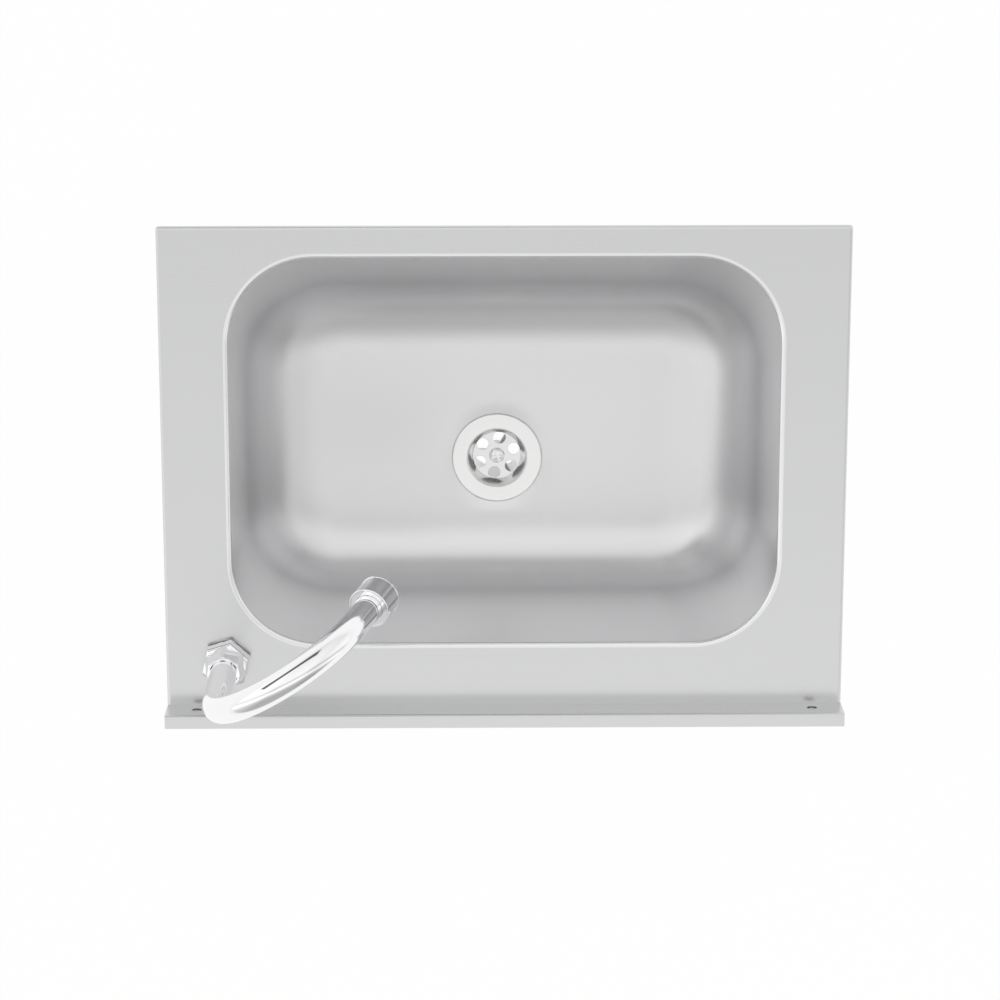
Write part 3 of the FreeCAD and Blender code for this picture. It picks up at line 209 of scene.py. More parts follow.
slotFinishes = {
    "sheet_steel": "deckSteel", "bowl_steel": "bowlSteel", "chrome": "chrome", "brass": "brass",
    "waste_steel": "polishedSteel", "fastener_steel": "boltSteel", "copper": "copper",
    "white_plastic": "whitePlastic", "dark_plastic": "darkPlastic",
    "black_rubber": "blackRubber", "grey_rubber": "greyRubber",
}
slotOf = {entry["node"]: entry["material_slot"] for entry in frame["record"]["subparts"]}
for name, node in nodes.items():
    paint(node, slotFinishes[slotOf[name]])
for name in ("right_side_panel", "left_side_panel"):
    paint(nodes[name], "sideSteel")  # brushed front to back, the deck from side to side
print("finishes set:", len(madeFinishes))


def addPiece(name, verts, faces, body, slotName, sharp=35):
    mesh = bpy.data.meshes.new(name)
    mesh.from_pydata([tuple(v) for v in verts], [], faces)
    mesh.validate()
    mesh.update()
    piece = bpy.data.objects.new(name, mesh)
    bpy.context.scene.collection.objects.link(piece)
    softShade(piece, sharp)
    paint(piece, slotFinishes[slotName])
    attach(piece, body)
    return piece


def softShade(piece, sharp):
    # smooth, apart from edges sharper than the angle
    mesh = piece.data
    mesh.polygons.foreach_set("use_smooth", [True] * len(mesh.polygons))
    mesh.set_sharp_from_angle(angle=math.radians(sharp))


def evenNormals(piece, weight=80):
    weighted = piece.modifiers.new("evenNormals", "WEIGHTED_NORMAL")
    weighted.keep_sharp = True
    weighted.weight = weight


def softEdges(piece, width, steps, angle):
    bevel = piece.modifiers.new("softEdges", "BEVEL")
    bevel.width = width * mm
    bevel.segments = steps
    bevel.limit_method = "ANGLE"
    bevel.angle_limit = math.radians(angle)
    bevel.harden_normals = False


def loftFaces(loops, count, closed=False):
    # quads between rings of count points each; closed joins the last ring to the first
    faces = []
    for level in range(loops if closed else loops - 1):
        low = level * count
        high = (level + 1) % loops * count
        for k in range(count):
            after = (k + 1) % count
            faces.append((low + k, low + after, high + after, high + k))
    return faces


def flip(faces):
    return [face[::-1] for face in faces]


def ringPoints(radius, height, around):
    turns = [2 * math.pi * k / around for k in range(around)]
    return [Vector((radius * math.cos(turn), radius * math.sin(turn), height)) for turn in turns]


def turnProfile(profile, around=96):
    # profile of (radius, height) points turned about z, going round the section anticlockwise
    verts = [v for radius, height in profile for v in ringPoints(radius, height, around)]
    return verts, loftFaces(len(profile), around, closed=True)


def arcPoints(centreR, centreZ, radius, start, end, steps):
    points = []
    for k in range(steps + 1):
        turn = math.radians(start + (end - start) * k / steps)
        points.append((centreR + radius * math.cos(turn), centreZ + radius * math.sin(turn)))
    return points


def moved(verts, lift):
    # millimetres to metres, at their place
    return [(v + lift) * mm for v in verts]


def boxMesh(centre, size, angle):
    verts = []
    for x in (-1, 1):
        for y in (-1, 1):
            for z in (-1, 1):
                p = Vector((x * size[0] / 2, y * size[1] / 2, z * size[2] / 2))
                verts.append(centre + Vector((p.x * math.cos(angle) - p.y * math.sin(angle),
                                              p.x * math.sin(angle) + p.y * math.cos(angle), p.z)))
    return verts, [(0, 1, 3, 2), (4, 6, 7, 5), (0, 4, 5, 1), (2, 3, 7, 6), (0, 2, 6, 4), (1, 5, 7, 3)]


def joined(parts):
    verts, faces = [], []
    for partVerts, partFaces in parts:
        first = len(verts)
        verts += partVerts
        faces += [tuple(first + i for i in face) for face in partFaces]
    return verts, faces


def cutBox(piece, centre, size, turn):
    # takes a turned box out of a piece
    verts, faces = boxMesh(centre, size, math.radians(turn))
    mesh = bpy.data.meshes.new("cutter")
    mesh.from_pydata([tuple(v * mm) for v in verts], [], faces)
    cutter = bpy.data.objects.new("cutter", mesh)
    bpy.context.scene.collection.objects.link(cutter)
    modifier = piece.modifiers.new("cut", "BOOLEAN")
    modifier.operation = "DIFFERENCE"
    modifier.solver = "EXACT"
    modifier.object = cutter
    bpy.context.view_layer.update()
    seen = piece.evaluated_get(bpy.context.evaluated_depsgraph_get())
    piece.data = bpy.data.meshes.new_from_object(seen)
    piece.modifiers.clear()
    bpy.data.objects.remove(cutter)


bowl = dict(depth=130, topCorner=50, floorCorner=56, taper=4, frontLean=18, sheet=0.98,
            footSides=54, footRear=36, footFront=40,  # legs of the foot's curve
            rim=2.5, land=4, cover=1.2, flush=0.004, edgeStep=0.02, rimSeam=0.4, paintedRimLoops=6,
            seatFlat=27.7, seatStep=0.4, seatEdge=26, seatDepth=2.5, hole=21.5,
            dishRadius=41, dishDrop=1.4, dishGap=0.4, floorShares=(0.15, 0.3, 0.45, 0.6, 0.75, 0.88),
            cornerSteps=24, longSteps=44, shortSteps=24, rimSteps=10, wallSteps=10, footSteps=28,
            dishSteps=12)
wastePlace = (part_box("waste_cup")[0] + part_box("waste_cup")[1]) / 2 / mm


class BowlShape:
    # the opening, the walls carried down to the floor, and the lean of the wall all round
    def __init__(self, spec):
        low, high = (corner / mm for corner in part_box("bowl"))
        edge = spec["rim"] + spec["land"]
        self.spec = spec
        self.top = (low.x + edge, high.x - edge, low.y + edge, high.y - edge)
        side = spec["depth"] * math.tan(math.radians(spec["taper"]))
        front = spec["depth"] * math.tan(math.radians(spec["frontLean"]))
        self.bottom = (self.top[0] + side, self.top[1] - side, self.top[2] + front, self.top[3] - side)

    def outline(self, share):
        # corner radius and the four corner centres, at a share of the depth
        radius = self.spec["topCorner"] + (self.spec["floorCorner"] - self.spec["topCorner"]) * share
        left, right, near, far = (a + (b - a) * share for a, b in zip(self.top, self.bottom))
        left, right, near, far = left + radius, right - radius, near + radius, far - radius
        centres = ((right, far), (left, far), (left, near), (right, near))
        return radius, [Vector(centre) for centre in centres]

    def lean(self, corner, way):
        # how far the wall leans from upright, in a direction out of a corner's centre
        topRadius, topCentres = self.outline(0)
        lowRadius, lowCentres = self.outline(1)
        inset = topRadius - lowRadius - (lowCentres[corner] - topCentres[corner]).dot(way)
        return math.atan(inset / self.spec["depth"])

    def footReach(self, way):
        # how far the foot's curve runs up the wall and into the floor
        across, along = way.x * way.x, way.y * way.y
        ends = self.spec["footRear" if way.y > 0 else "footFront"]
        return self.spec["footSides"] * across + ends * along

    def footTop(self, corner, way):
        return self.footReach(way) * math.cos(self.lean(corner, way)) - self.spec["depth"]

    def onWall(self, corner, way, height, outward=0, level=None):
        # a point at a height; level gives the outline of another height
        radius, centres = self.outline(-(height if level is None else level) / self.spec["depth"])
        flat = centres[corner] + way * (radius + outward)
        return Vector((flat.x, flat.y, height))

    def loop(self, place):
        # place(corner, way) gives a point for each direction in the corners, straight runs lie between
        spec = self.spec
        points = []
        for corner in range(4):
            for k in range(spec["cornerSteps"] + 1):
                turn = math.pi / 2 * (corner + k / spec["cornerSteps"])
                points.append(place(corner, Vector((math.cos(turn), math.sin(turn)))))
            turn = math.pi / 2 * (corner + 1)
            after = place((corner + 1) % 4, Vector((math.cos(turn), math.sin(turn))))
            steps = spec["longSteps"] if corner % 2 == 0 else spec["shortSteps"]
            last = points[-1]
            points += [last.lerp(after, k / steps) for k in range(1, steps)]
        return points

    def flangeLoop(self, outward):
        def place(corner, way):
            return self.onWall(corner, way, self.spec["flush"], outward, level=0)
        return self.loop(place)

    def rimLoop(self, share):
        def place(corner, way):
            lean, rim = self.lean(corner, way), self.spec["rim"]
            turn = math.pi / 2 + (lean - math.pi / 2) * share
            reach = rim * math.tan((math.pi / 2 - lean) / 2)
            outward = reach - rim * math.cos(turn)
            return self.onWall(corner, way, rim * (math.sin(turn) - 1), outward, level=0)
        return self.loop(place)

    def wallLoop(self, share):
        def place(corner, way):
            top = -self.spec["rim"] * (1 - math.sin(self.lean(corner, way)))
            return self.onWall(corner, way, top + (self.footTop(corner, way) - top) * share)
        return self.loop(place)

    def footLoop(self, share):
        def place(corner, way):
            # a curve that eases out of the wall and into the floor
            start = self.onWall(corner, way, self.footTop(corner, way))
            knee = self.onWall(corner, way, -self.spec["depth"])
            end = knee - Vector((way.x, way.y, 0)) * self.footReach(way)
            return start.lerp(knee, share).lerp(knee.lerp(end, share), share)
        return self.loop(place)


def floorLoops(spec, edge):
    # from the foot's inner edge over the floor and the eased dish into the seat of the waste
    centre = Vector((wastePlace.x, wastePlace.y, -spec["depth"]))
    ways = [(p - centre).normalized() for p in edge]
    reach = [min(spec["dishRadius"], (p - centre).length - spec["dishGap"]) for p in edge]
    loops = []
    for share in spec["floorShares"]:
        loops.append([p.lerp(centre + way * far, share) for p, way, far in zip(edge, ways, reach)])
    for k in range(spec["dishSteps"] + 1):
        share = k / spec["dishSteps"]
        drop = Vector((0, 0, spec["dishDrop"] * (1 - math.cos(math.pi / 2 * share))))
        loops.append([centre + way * (far + (spec["seatFlat"] - far) * share) - drop
                      for way, far in zip(ways, reach)])
    for radius in (spec["seatFlat"] - spec["seatStep"], spec["seatEdge"], spec["hole"]):
        loops.append([centre + way * radius - Vector((0, 0, spec["seatDepth"])) for way in ways])
    return loops


def makeBowl():
    spec = bowl
    shape = BowlShape(spec)
    flange = spec["rim"] + spec["land"]
    outer = flange + spec["cover"]
    loops = [shape.flangeLoop(out) for out in (outer, outer - spec["edgeStep"], flange,
                                               spec["rim"] + spec["rimSeam"])]
    deckLoops = len(loops) - 1
    # rows up to here are the flange and the rim's painted highlight
    paintedRimEnd = len(loops) + spec["paintedRimLoops"]
    loops += [shape.rimLoop(k / spec["rimSteps"]) for k in range(spec["rimSteps"] + 1)]
    loops += [shape.wallLoop(k / spec["wallSteps"]) for k in range(1, spec["wallSteps"])]
    loops += [shape.footLoop(k / spec["footSteps"]) for k in range(spec["footSteps"] + 1)]
    loops += floorLoops(spec, loops[-1])
    count = len(loops[0])
    verts = [p * mm for loop in loops for p in loop]
    piece = addPiece("bowl_shell", verts, loftFaces(len(loops), count), "basin", "bowl_steel", sharp=60)
    # the flange is brushed as the deck; the upper rim gets a paler, glossier copy of the bowl steel, a
    # painted highlight along the fold
    piece.data.materials.append(finish("deckSteel"))
    piece.data.materials.append(finish("rimPaintedHighlight"))
    for face in piece.data.polygons[:paintedRimEnd * count]:
        face.material_index = 1 if face.index < deckLoops * count else 2
    skin = piece.modifiers.new("sheet", "SOLIDIFY")
    skin.thickness = spec["sheet"] * mm
    skin.offset = -1
    evenNormals(piece)
    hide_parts("bowl")


makeBowl()
print("bowl made")


waste = dict(x=wastePlace.x, y=wastePlace.y, z=-132.5, flangeRadius=28, flangeTop=2.6, flangeSoft=1.0,
             flatFrom=22, lip=0.9, lipOut=0.8, lipDrop=1.3, sealThick=1.5, mouth=18.5, drop=8.5, wall=1.2,
             floorRadius=15.3, floorSoft=0.35, discSeam=0.4, around=128)
wasteLift = Vector((waste["x"], waste["y"], waste["z"]))
wasteFloor = waste["flangeTop"] - waste["drop"]


def makeWasteCup():
    spec = waste
    top, floor = spec["flangeTop"], wasteFloor
    inner = spec["floorRadius"] - spec["discSeam"]
    ring = [(inner, floor), (spec["floorRadius"], floor + spec["floorSoft"]),
            (spec["mouth"] - spec["lipOut"], top - spec["lipDrop"])]
    ring += arcPoints(spec["mouth"] + spec["lipOut"], top - spec["lip"], spec["lip"],
                      start=160, end=90, steps=6)
    ring += [(spec["flatFrom"], top)]
    soft = spec["flangeSoft"]
    ring += arcPoints(spec["flangeRadius"] - soft, top - soft, soft, start=90, end=0, steps=6)
    ring += [(spec["flangeRadius"], spec["sealThick"]), (spec["mouth"] + spec["wall"], spec["sealThick"]),
             (spec["floorRadius"] + spec["wall"], floor - spec["wall"]), (inner, floor - spec["wall"])]
    verts, faces = turnProfile(ring[::-1], spec["around"])
    cup = addPiece("waste_cup_ring", moved(verts, wasteLift), faces, "basin", "waste_steel", sharp=40)
    paint(cup, "satinSteel")
    evenNormals(cup)
    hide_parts("waste_cup")


strainer = dict(holeRadius=3.75, holeCircle=11.3, holes=6, phase=21.5, soft=0.25, screwGap=0.1)
roundHandle = 0.5523  # length of a quarter circle's handle, in radii


def makeStrainer():
    # a flat disc with round holes whose edges are softened
    spec = strainer
    soft = spec["soft"]
    outline = bpy.data.curves.new("strainer_disc", "CURVE")
    outline.dimensions = "2D"
    outline.fill_mode = "BOTH"
    outline.resolution_u = 16
    addCircle(outline, 0, 0, waste["floorRadius"] - soft)
    addCircle(outline, 0, 0, screw["shank"] + spec["screwGap"] + soft)
    for k in range(spec["holes"]):
        turn = math.radians(spec["phase"] + 360 / spec["holes"] * k)
        addCircle(outline, spec["holeCircle"] * math.cos(turn), spec["holeCircle"] * math.sin(turn),
                  spec["holeRadius"] + soft)
    outline.extrude = (waste["wall"] / 2 - soft) * mm
    outline.bevel_depth = soft * mm
    outline.bevel_resolution = 3
    drawn = bpy.data.objects.new("strainer_outline", outline)
    bpy.context.scene.collection.objects.link(drawn)
    mesh = bpy.data.meshes.new_from_object(drawn.evaluated_get(bpy.context.evaluated_depsgraph_get()))
    bpy.data.objects.remove(drawn)
    lift = (wasteLift + Vector((0, 0, wasteFloor - waste["wall"] / 2))) * mm
    verts = [v.co + lift for v in mesh.vertices]
    faces = [tuple(p.vertices) for p in mesh.polygons]
    disc = addPiece("strainer_disc", verts, faces, "basin", "waste_steel", sharp=40)
    evenNormals(disc)


def addCircle(outline, x, y, radius):
    spline = outline.splines.new("BEZIER")
    spline.bezier_points.add(3)
    spline.use_cyclic_u = True
    for k, point in enumerate(spline.bezier_points):
        turn = math.pi / 2 * k
        out = Vector((math.cos(turn), math.sin(turn), 0)) * radius * mm
        handle = Vector((-out.y, out.x, 0)) * roundHandle
        point.co = Vector((x * mm, y * mm, 0)) + out
        point.handle_left = point.co - handle
        point.handle_right = point.co + handle


screw = dict(head=4.9, shank=3, low=-25.0, domeTop=3.4, headEdge=0.2, domeSteps=8, gap=0.02, around=64,
             slotLong=14, slotWidth=1.3, slotDepth=1.3, slotTurn=28)


def makeWasteScrew():
    spec = screw
    dome = spec["domeTop"] - spec["headEdge"]
    profile = [(spec["gap"], wasteFloor + spec["domeTop"])]
    for k in range(1, spec["domeSteps"] + 1):
        turn = math.pi / 2 * k / spec["domeSteps"]
        height = wasteFloor + spec["headEdge"] + dome * math.cos(turn)
        profile.append((spec["head"] * math.sin(turn), height))
    under = wasteFloor + spec["gap"]
    profile += [(spec["head"], under), (spec["shank"], under), (spec["shank"], spec["low"]),
                (spec["gap"], spec["low"])]
    verts, faces = turnProfile(profile[::-1], spec["around"])
    piece = addPiece("waste_screw_head", moved(verts, wasteLift), faces, "basin", "waste_steel")
    paint(piece, "brightSteel")
    top = wasteLift + Vector((0, 0, wasteFloor + spec["domeTop"]))
    for turn in (spec["slotTurn"], spec["slotTurn"] + 90):
        cutBox(piece, top, (spec["slotLong"], spec["slotWidth"], 2 * spec["slotDepth"]), turn)
    softShade(piece, sharp=35)
    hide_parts("waste_screw")


tail = dict(top=-137.5, flange=28, thick=3, flangeSoft=0.3, neck=0.5, neckDrop=0.6,
            shoulder=22.95, shoulderLow=-154.5, shoulderSoft=0.4,
            radius=20.95, end=-182.5, bore=17.5, endStep=0.5, around=96,
            threadGap=1.6, threadStart=2, threadStop=0.6, pitch=2.31, depth=0.95, perPitch=8, runOut=0.7,
            crestWide=1.35, crestSlope=3.6)


def makeWasteBody():
    # a turned body whose tail carries a real thread
    spec = tail
    soft, low = spec["flangeSoft"], spec["top"] - spec["thick"]
    root = spec["radius"] - spec["depth"]
    profile = [(spec["bore"], spec["end"]), (spec["bore"], spec["top"]),
               (spec["flange"] - soft, spec["top"]), (spec["flange"], spec["top"] - soft),
               (spec["flange"], low + soft), (spec["flange"] - soft, low),
               (spec["shoulder"] + spec["neck"], low), (spec["shoulder"], low - spec["neckDrop"]),
               (spec["shoulder"], spec["shoulderLow"] + spec["shoulderSoft"]),
               (spec["shoulder"] - spec["shoulderSoft"], spec["shoulderLow"]),
               (root, spec["shoulderLow"] - spec["threadGap"])]
    start, stop = spec["shoulderLow"] - spec["threadStart"], spec["end"] + spec["threadStop"]
    steps = round((start - stop) / spec["pitch"] * spec["perPitch"])
    verts = [v for radius, height in profile for v in ringPoints(radius, height, spec["around"])]
    for k in range(steps + 1):
        height = start + (stop - start) * k / steps
        fade = min(1, min(k, steps - k) / spec["perPitch"] / spec["runOut"])
        for j in range(spec["around"]):
            turn = 2 * math.pi * j / spec["around"]
            phase = (height / spec["pitch"] + j / spec["around"]) % 1
            crest = min(1, max(0, spec["crestWide"] - abs(phase - 0.5) * spec["crestSlope"])) * fade
            radius = root + spec["depth"] * crest
            verts.append(Vector((radius * math.cos(turn), radius * math.sin(turn), height)))
    verts += ringPoints(root - spec["endStep"], spec["end"], spec["around"])
    faces = flip(loftFaces(len(verts) // spec["around"], spec["around"], closed=True))
    lift = Vector((waste["x"], waste["y"], 0))
    body = addPiece("waste_body_shell", moved(verts, lift), faces, "basin", "white_plastic", sharp=40)
    paint(body, "glossPlastic")
    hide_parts("waste_body")


spider = dict(boss=6, top=-145.5, high=10, bossSoft=0.4, screwGap=0.05, around=48, spokes=3, spokeWide=3,
              spokeHigh=6, intoBoss=0.6, intoWall=0.3, soft=0.3)


def makeSpider():
    # the boss that takes the screw, on spokes from the body's wall
    spec = spider
    high, low = spec["top"], spec["top"] - spec["high"]
    hole, boss, soft = screw["shank"] + spec["screwGap"], spec["boss"], spec["bossSoft"]
    parts = [turnProfile([(hole, low), (boss - soft, low), (boss, low + soft), (boss, high - soft),
                          (boss - soft, high), (hole, high)], spec["around"])]
    inner, outer = boss - spec["intoBoss"], tail["bore"] + spec["intoWall"]
    middle = (inner + outer) / 2
    for k in range(spec["spokes"]):
        turn = 2 * math.pi * k / spec["spokes"]
        centre = Vector((middle * math.cos(turn), middle * math.sin(turn), high - spec["spokeHigh"] / 2))
        parts.append(boxMesh(centre, (outer - inner, spec["spokeWide"], spec["spokeHigh"]), turn))
    verts, faces = joined(parts)
    lift = Vector((waste["x"], waste["y"], 0))
    piece = addPiece("waste_spider", moved(verts, lift), faces, "basin", "white_plastic")
    softEdges(piece, spec["soft"], steps=2, angle=40)
    paint(piece, "glossPlastic")


makeWasteCup()
makeStrainer()
makeWasteScrew()
makeWasteBody()
makeSpider()
print("waste made")


tap = dict(x=164.4, y=-35.2, turn=33)  # turn is the spout's heading at rest, from the wall line
tapLift = Vector((tap["x"], tap["y"], 0))
nut = dict(
    # a hexagon with a rounded shoulder, down the outside and up the bore
    hexTurn=17, hexSoft=0.4,
    hexagon=[(26, 3.5), (26, 8.0), (25.75, 9.1), (25.1, 10.1), (24.1, 10.9), (22.8, 11.4), (21, 11.7),
             (17, 11.7), (17, 3.5)],
    # a crown of wide and narrow facets: radius, height, half angle of the narrow ones
    crownTurn=33, crownSoft=0.15,
    crown=[(8.4, 11, 4), (12.7, 11, 4), (11.95, 16.5, 8), (9.9, 24.3, 4), (8.4, 24.3, 4)],
    # a round collar with a recess for the tube
    collar=9.5, bore=8.35, collarLow=23.6, collarTop=26, collarSoft=0.3,
    chamfer=0.1, lip=0.65, recess=0.5,
    # the plated ring on which the nut stands
    foot=[(11.0, 1.0), (12.4, 1.0), (12.55, 1.15), (12.55, 3.3), (12.4, 3.49), (11.0, 3.49)])


def hexLoop(flats, height):
    corner = flats / 2 / math.cos(math.pi / 6)
    turns = [math.radians(60 * k + nut["hexTurn"]) for k in range(6)]
    return [Vector((corner * math.cos(turn), corner * math.sin(turn), height)) for turn in turns]


def crownLoop(radius, height, half):
    turns = [math.radians(nut["crownTurn"] + 60 * k + side) for k in range(6) for side in (-half, half)]
    return [Vector((radius * math.cos(turn), radius * math.sin(turn), height)) for turn in turns]


def makeGlandNut():
    spec = nut
    verts = [v for flats, height in spec["hexagon"] for v in hexLoop(flats, height)]
    faces = loftFaces(len(spec["hexagon"]), 6, closed=True)
    body = addPiece("gland_nut_body", moved(verts, tapLift), faces, "basin", "chrome", sharp=40)
    softEdges(body, spec["hexSoft"], steps=3, angle=42)
    evenNormals(body)
    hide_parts("gland_nut")
    verts = [v for radius, height, half in spec["crown"] for v in crownLoop(radius, height, half)]
    faces = loftFaces(len(spec["crown"]), 12, closed=True)
    crown = addPiece("gland_nut_crown", moved(verts, tapLift), faces, "basin", "chrome", sharp=12)
    softEdges(crown, spec["crownSoft"], steps=2, angle=12)
    evenNormals(crown)
    outer, inner, low, top = spec["collar"], spec["bore"], spec["collarLow"], spec["collarTop"]
    soft = spec["collarSoft"]
    ring = [(inner, low), (outer - spec["chamfer"], low), (outer, low + soft)]
    ring += arcPoints(outer - soft, top - soft, soft, start=0, end=90, steps=4)
    ring += [(outer - spec["lip"], top), (outer - spec["lip"] - spec["chamfer"], top - spec["recess"]),
             (inner, top - spec["recess"])]
    makeTurned("gland_nut_collar", ring)
    makeTurned("tap_foot_ring", spec["foot"])


def makeTurned(name, ring):
    verts, faces = turnProfile(ring)
    piece = addPiece(name, moved(verts, tapLift), faces, "basin", "chrome", sharp=40)
    evenNormals(piece)


spout = dict(radius=8, wall=1, low=14.2, rise=80, bend=50, sweep=153, end=20, socket=6,
             around=72, riseSteps=12, bendSteps=72, endSteps=5)


def spoutPath(spec):
    # (distance, height, slope) along the middle of the tube; slope 0 is straight up
    path = [(0, spec["low"] + (spec["rise"] - spec["low"]) * k / spec["riseSteps"], 0)
            for k in range(spec["riseSteps"])]
    for k in range(spec["bendSteps"] + 1):
        slope = math.radians(spec["sweep"]) * k / spec["bendSteps"]
        height = spec["rise"] + spec["bend"] * math.sin(slope)
        path.append((spec["bend"] * (1 - math.cos(slope)), height, slope))
    last = path[-1]
    for k in range(1, spec["endSteps"] + 1):
        along = (spec["end"] + spec["socket"]) * k / spec["endSteps"]
        path.append((last[0] + along * math.sin(last[2]), last[1] + along * math.cos(last[2]), last[2]))
    return path


def spoutHeading():
    # level directions along the spout and across it
    heading = math.radians(180 + tap["turn"])
    forward = Vector((math.cos(heading), math.sin(heading), 0))
    return forward, Vector((-forward.y, forward.x, 0))


def makeSpoutTube():
    spec = spout
    forward, side = spoutHeading()
    turns = [2 * math.pi * k / spec["around"] for k in range(spec["around"])]
    outerLoops, innerLoops = [], []
    for distance, height, slope in spoutPath(spec):
        centre = tapLift + forward * distance + Vector((0, 0, height))
        across = forward * math.cos(slope) - Vector((0, 0, 1)) * math.sin(slope)
        for loops, radius in ((outerLoops, spec["radius"]), (innerLoops, spec["radius"] - spec["wall"])):
            loops.append([centre + (across * math.cos(a) + side * math.sin(a)) * radius for a in turns])
    loops = outerLoops + innerLoops[::-1]
    verts = [p * mm for loop in loops for p in loop]
    faces = loftFaces(len(loops), spec["around"], closed=True)
    piece = addPiece("spout_tube_skin", verts, faces, "spout", "chrome", sharp=50)
    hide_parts("spout_tube")


aerator = dict(radius=12, length=16.5, bore=10.6, tube=8.05, socket=6, chamfer=0.3,
               rimWidth=0.8, rimStep=0.3, rimSoft=0.35, rimHigh=0.05,
               backSoft=0.5, band=1.5, groove=0.22, grooveSlope=0.15,
               moatWide=0.4, moatDeep=0.5, moatSlope=0.05)


def outletPlace():
    # middle of the aerator's rim, the way the water leaves, and two directions square to it
    distance, height, slope = spoutPath(spout)[spout["riseSteps"] + spout["bendSteps"]]
    distance += spout["end"] * math.sin(slope)
    height += spout["end"] * math.cos(slope)
    forward, side = spoutHeading()
    centre = tapLift + forward * distance + Vector((0, 0, height))
    along = forward * math.sin(slope) + Vector((0, 0, math.cos(slope)))
    return centre, along, side, along.cross(side)


def makeAerator():
    spec = aerator
    centre, along, side, across = outletPlace()
    outer, length, chamfer = spec["radius"], spec["length"], spec["chamfer"]
    face, inside, moatSlope = spec["rimStep"], outer - spec["rimWidth"], spec["moatSlope"]
    # the face round the tube, a fine moat and the thin rim
    ring = [(spec["tube"], face + chamfer), (spec["tube"] + chamfer, face),
            (inside - spec["moatWide"], face),
            (inside - spec["moatWide"] + moatSlope, face + spec["moatDeep"]),
            (inside - moatSlope, face + spec["moatDeep"]), (inside, spec["rimHigh"])]
    soft = spec["rimSoft"]
    ring += arcPoints(outer - soft, soft, soft, start=-90, end=0, steps=5)
    # the outside, a shade thinner between two bands
    low, high = spec["band"], length - spec["band"]
    ring += [(outer, low), (outer - spec["groove"], low + spec["grooveSlope"]),
             (outer - spec["groove"], high - spec["grooveSlope"]), (outer, high)]
    soft = spec["backSoft"]
    ring += arcPoints(outer - soft, length - soft, soft, start=0, end=90, steps=5)
    ring += [(spec["bore"] + chamfer, length), (spec["bore"], length - chamfer),
             (spec["bore"], spec["socket"]), (spec["tube"], spec["socket"])]
    verts, faces = turnProfile(ring)
    verts = [(centre + side * v.x + across * v.y + along * v.z) * mm for v in verts]
    piece = addPiece("aerator_shell", verts, flip(faces), "spout", "chrome", sharp=40)
    evenNormals(piece)
    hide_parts("aerator_housing")


makeGlandNut()
makeSpoutTube()
makeAerator()
print("tap made")


room = dict(floorZ=-0.2005, floorHalf=60.0, floorShade=0.86, floorShown=0.98)


def makeFloor():
    half, z = room["floorHalf"], room["floorZ"]
    mesh = bpy.data.meshes.new("floor")
    corners = [(-half, -half, z), (half, -half, z), (half, half, z), (-half, half, z)]
    mesh.from_pydata(corners, [], [(0, 1, 2, 3)])
    floor = bpy.data.objects.new("floor", mesh)
    bpy.context.scene.collection.objects.link(floor)
    material = bpy.data.materials.new("floorWhite")
    material.use_nodes = True
    material.node_tree.nodes.clear()
    wire = Wire(material.node_tree)
    # the camera and polished pieces see it near white, and it keeps a little of its shadow
    seen = wire.node("LightPath", out="Is Camera Ray")
    direct = seen + seen.beside("Is Glossy Ray")
    shown = wire.reckon("ADD", direct, seen.beside("Is Transmission Ray"), clamp=True)
    paper = wire.node("BsdfDiffuse", None, {"Color": shade(room["floorShade"])})
    glow = wire.node("Emission", None, {"Color": shade(1.0), "Strength": 1.0})
    front = wire.node("MixShader", None, {0: shown * room["floorShown"], 1: paper, 2: glow})
    # from below the floor is clear
    under = wire.node("NewGeometry", out="Backfacing")
    clear = wire.node("BsdfTransparent")
    mixed = wire.node("MixShader", None, {0: under, 1: front, 2: clear})
    wire.node("OutputMaterial", None, {"Surface": mixed})
    floor.data.materials.append(material)


sky = dict(
    # brightness by the way back, from straight ahead (-1) over the top (0) to the wall side (1)
    fromFront=[(-1.0, 0.80), (-0.85, 0.90), (-0.65, 0.96), (-0.45, 0.98), (-0.25, 1.02), (-0.10, 1.00),
               (0.0, 0.90), (0.08, 0.75), (0.16, 0.66), (0.24, 0.90), (0.32, 1.13), (0.42, 0.93),
               (0.56, 0.57), (0.76, 0.45), (1.0, 0.48)],
    # added by the way across; the offset is taken off again
    fromLeft=[(-1.0, 0.27), (-0.9, 0.25), (-0.65, 0.14), (-0.35, 0.25), (0.35, 0.25), (0.65, 0.40),
              (0.9, 0.45), (1.0, 0.45)],
    offset=0.25,
    # a bright haze just above the floor
    haze=dict(full=0.05, gone=0.18, tone=0.95),
    # a dark doorway for the chrome to mirror: its heading, half width and heights as sines
    doorway=dict(heading=(0.545, -0.839), halfWidth=0.50, low=0.28, high=0.54, tone=0.15, soft=0.015))


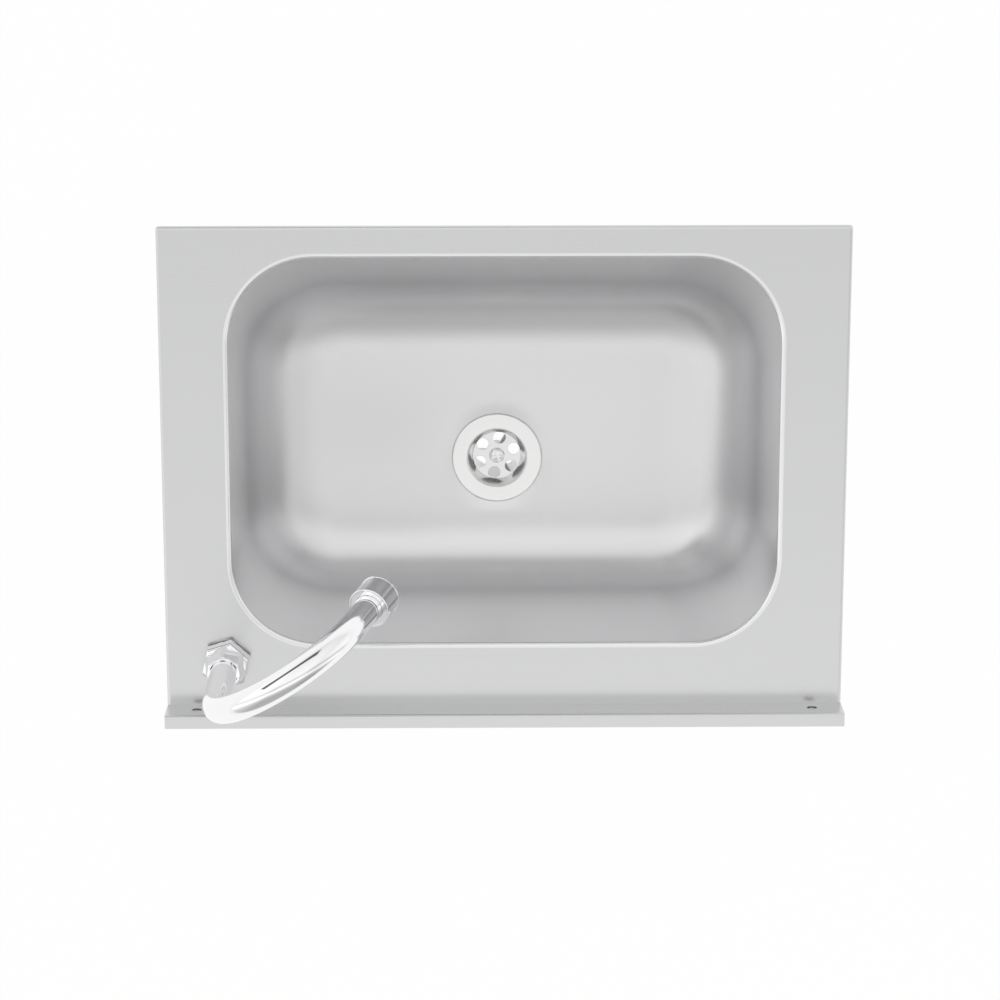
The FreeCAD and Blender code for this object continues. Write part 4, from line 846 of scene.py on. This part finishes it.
def makeSky():
    world = bpy.data.worlds.new("studio")
    bpy.context.scene.world = world
    world.use_nodes = True
    world.node_tree.nodes.clear()
    wire = Wire(world.node_tree)
    across = wire.node("SeparateXYZ", None, {0: wire.node("TexCoord")})
    back, up = across.beside("Y"), across.beside("Z")
    level = rampTone(wire, back, sky["fromFront"])
    level = level + rampTone(wire, across, sky["fromLeft"]) - sky["offset"]
    door = sky["doorway"]
    east, north = door["heading"]
    along = across * east + back * north
    aside = across * north - back * east
    inside = stepAt(wire, along, 0.0) * stepAt(wire, aside, -door["halfWidth"])
    inside = inside * (1 - stepAt(wire, aside, door["halfWidth"]))
    inside = inside * stepAt(wire, up, door["low"]) * (1 - stepAt(wire, up, door["high"]))
    level = level * (1 - inside * (1 - door["tone"]))
    haze = sky["haze"]
    clear = easeStep(wire, up, haze["full"], haze["gone"])
    level = level * clear + (1 - clear) * haze["tone"]
    grey = wire.node("CombineColor", None, {0: level, 1: level, 2: level})
    glow = wire.node("Background", None, {"Color": grey})
    wire.node("OutputWorld", None, {"Surface": glow})


def rampTone(wire, place, stops):
    # stops from -1 to 1 on a ramp that runs from 0 to 1
    shifted = [((at + 1) / 2, level) for at, level in stops]
    tone = wire.node("ValToRGB", {"stops": shifted}, {0: place * 0.5 + 0.5})
    return wire.node("RGBToBW", None, {0: tone})


def easeStep(wire, value, low, high):
    # 0 below low, 1 above high
    settings = {"interpolation_type": "SMOOTHSTEP"}
    return wire.node("MapRange", settings, {0: value, 1: low, 2: high, 3: 0.0, 4: 1.0})


def stepAt(wire, value, edge):
    soft = sky["doorway"]["soft"]
    return easeStep(wire, value, edge - soft, edge + soft)


overhead = dict(place=(0.0, 0.35, 1.7), target=(0, -0.15, -0.05), size=1.3, power=0.3)


def makeLamp():
    spec = overhead
    light = bpy.data.lights.new("overhead", "AREA")
    light.shape = "SQUARE"
    light.size = spec["size"]
    light.energy = spec["power"]
    lamp = bpy.data.objects.new("overhead", light)
    lamp.location = spec["place"]
    aim = Vector(spec["target"]) - lamp.location
    lamp.rotation_euler = aim.to_track_quat("-Z", "Y").to_euler()
    bpy.context.scene.collection.objects.link(lamp)


view = dict(eye=(0.0244, -0.5783, 1.8), target=(0.0027, -0.1331, 0.0), lens=114.2, sensor=36,
            nearest=0.05, farthest=50)


def makeCamera():
    # looks down from in front of the sink, with the front edge at the picture's top
    camera = bpy.data.cameras.new("camera")
    camera.sensor_width = view["sensor"]
    camera.lens = view["lens"]
    camera.clip_start = view["nearest"]
    camera.clip_end = view["farthest"]
    shot = bpy.data.objects.new("camera", camera)
    bpy.context.scene.collection.objects.link(shot)
    eye = Vector(view["eye"])
    back = (eye - Vector(view["target"])).normalized()
    right = Vector((0, -1, 0)).cross(back).normalized()
    turned = Matrix((right, back.cross(right), back)).transposed().to_4x4()
    turned.translation = eye
    shot.matrix_world = turned
    bpy.context.scene.camera = shot


makeFloor()
makeSky()
makeLamp()
makeCamera()
bpy.context.scene.view_settings.view_transform = "Standard"
print("stage set")
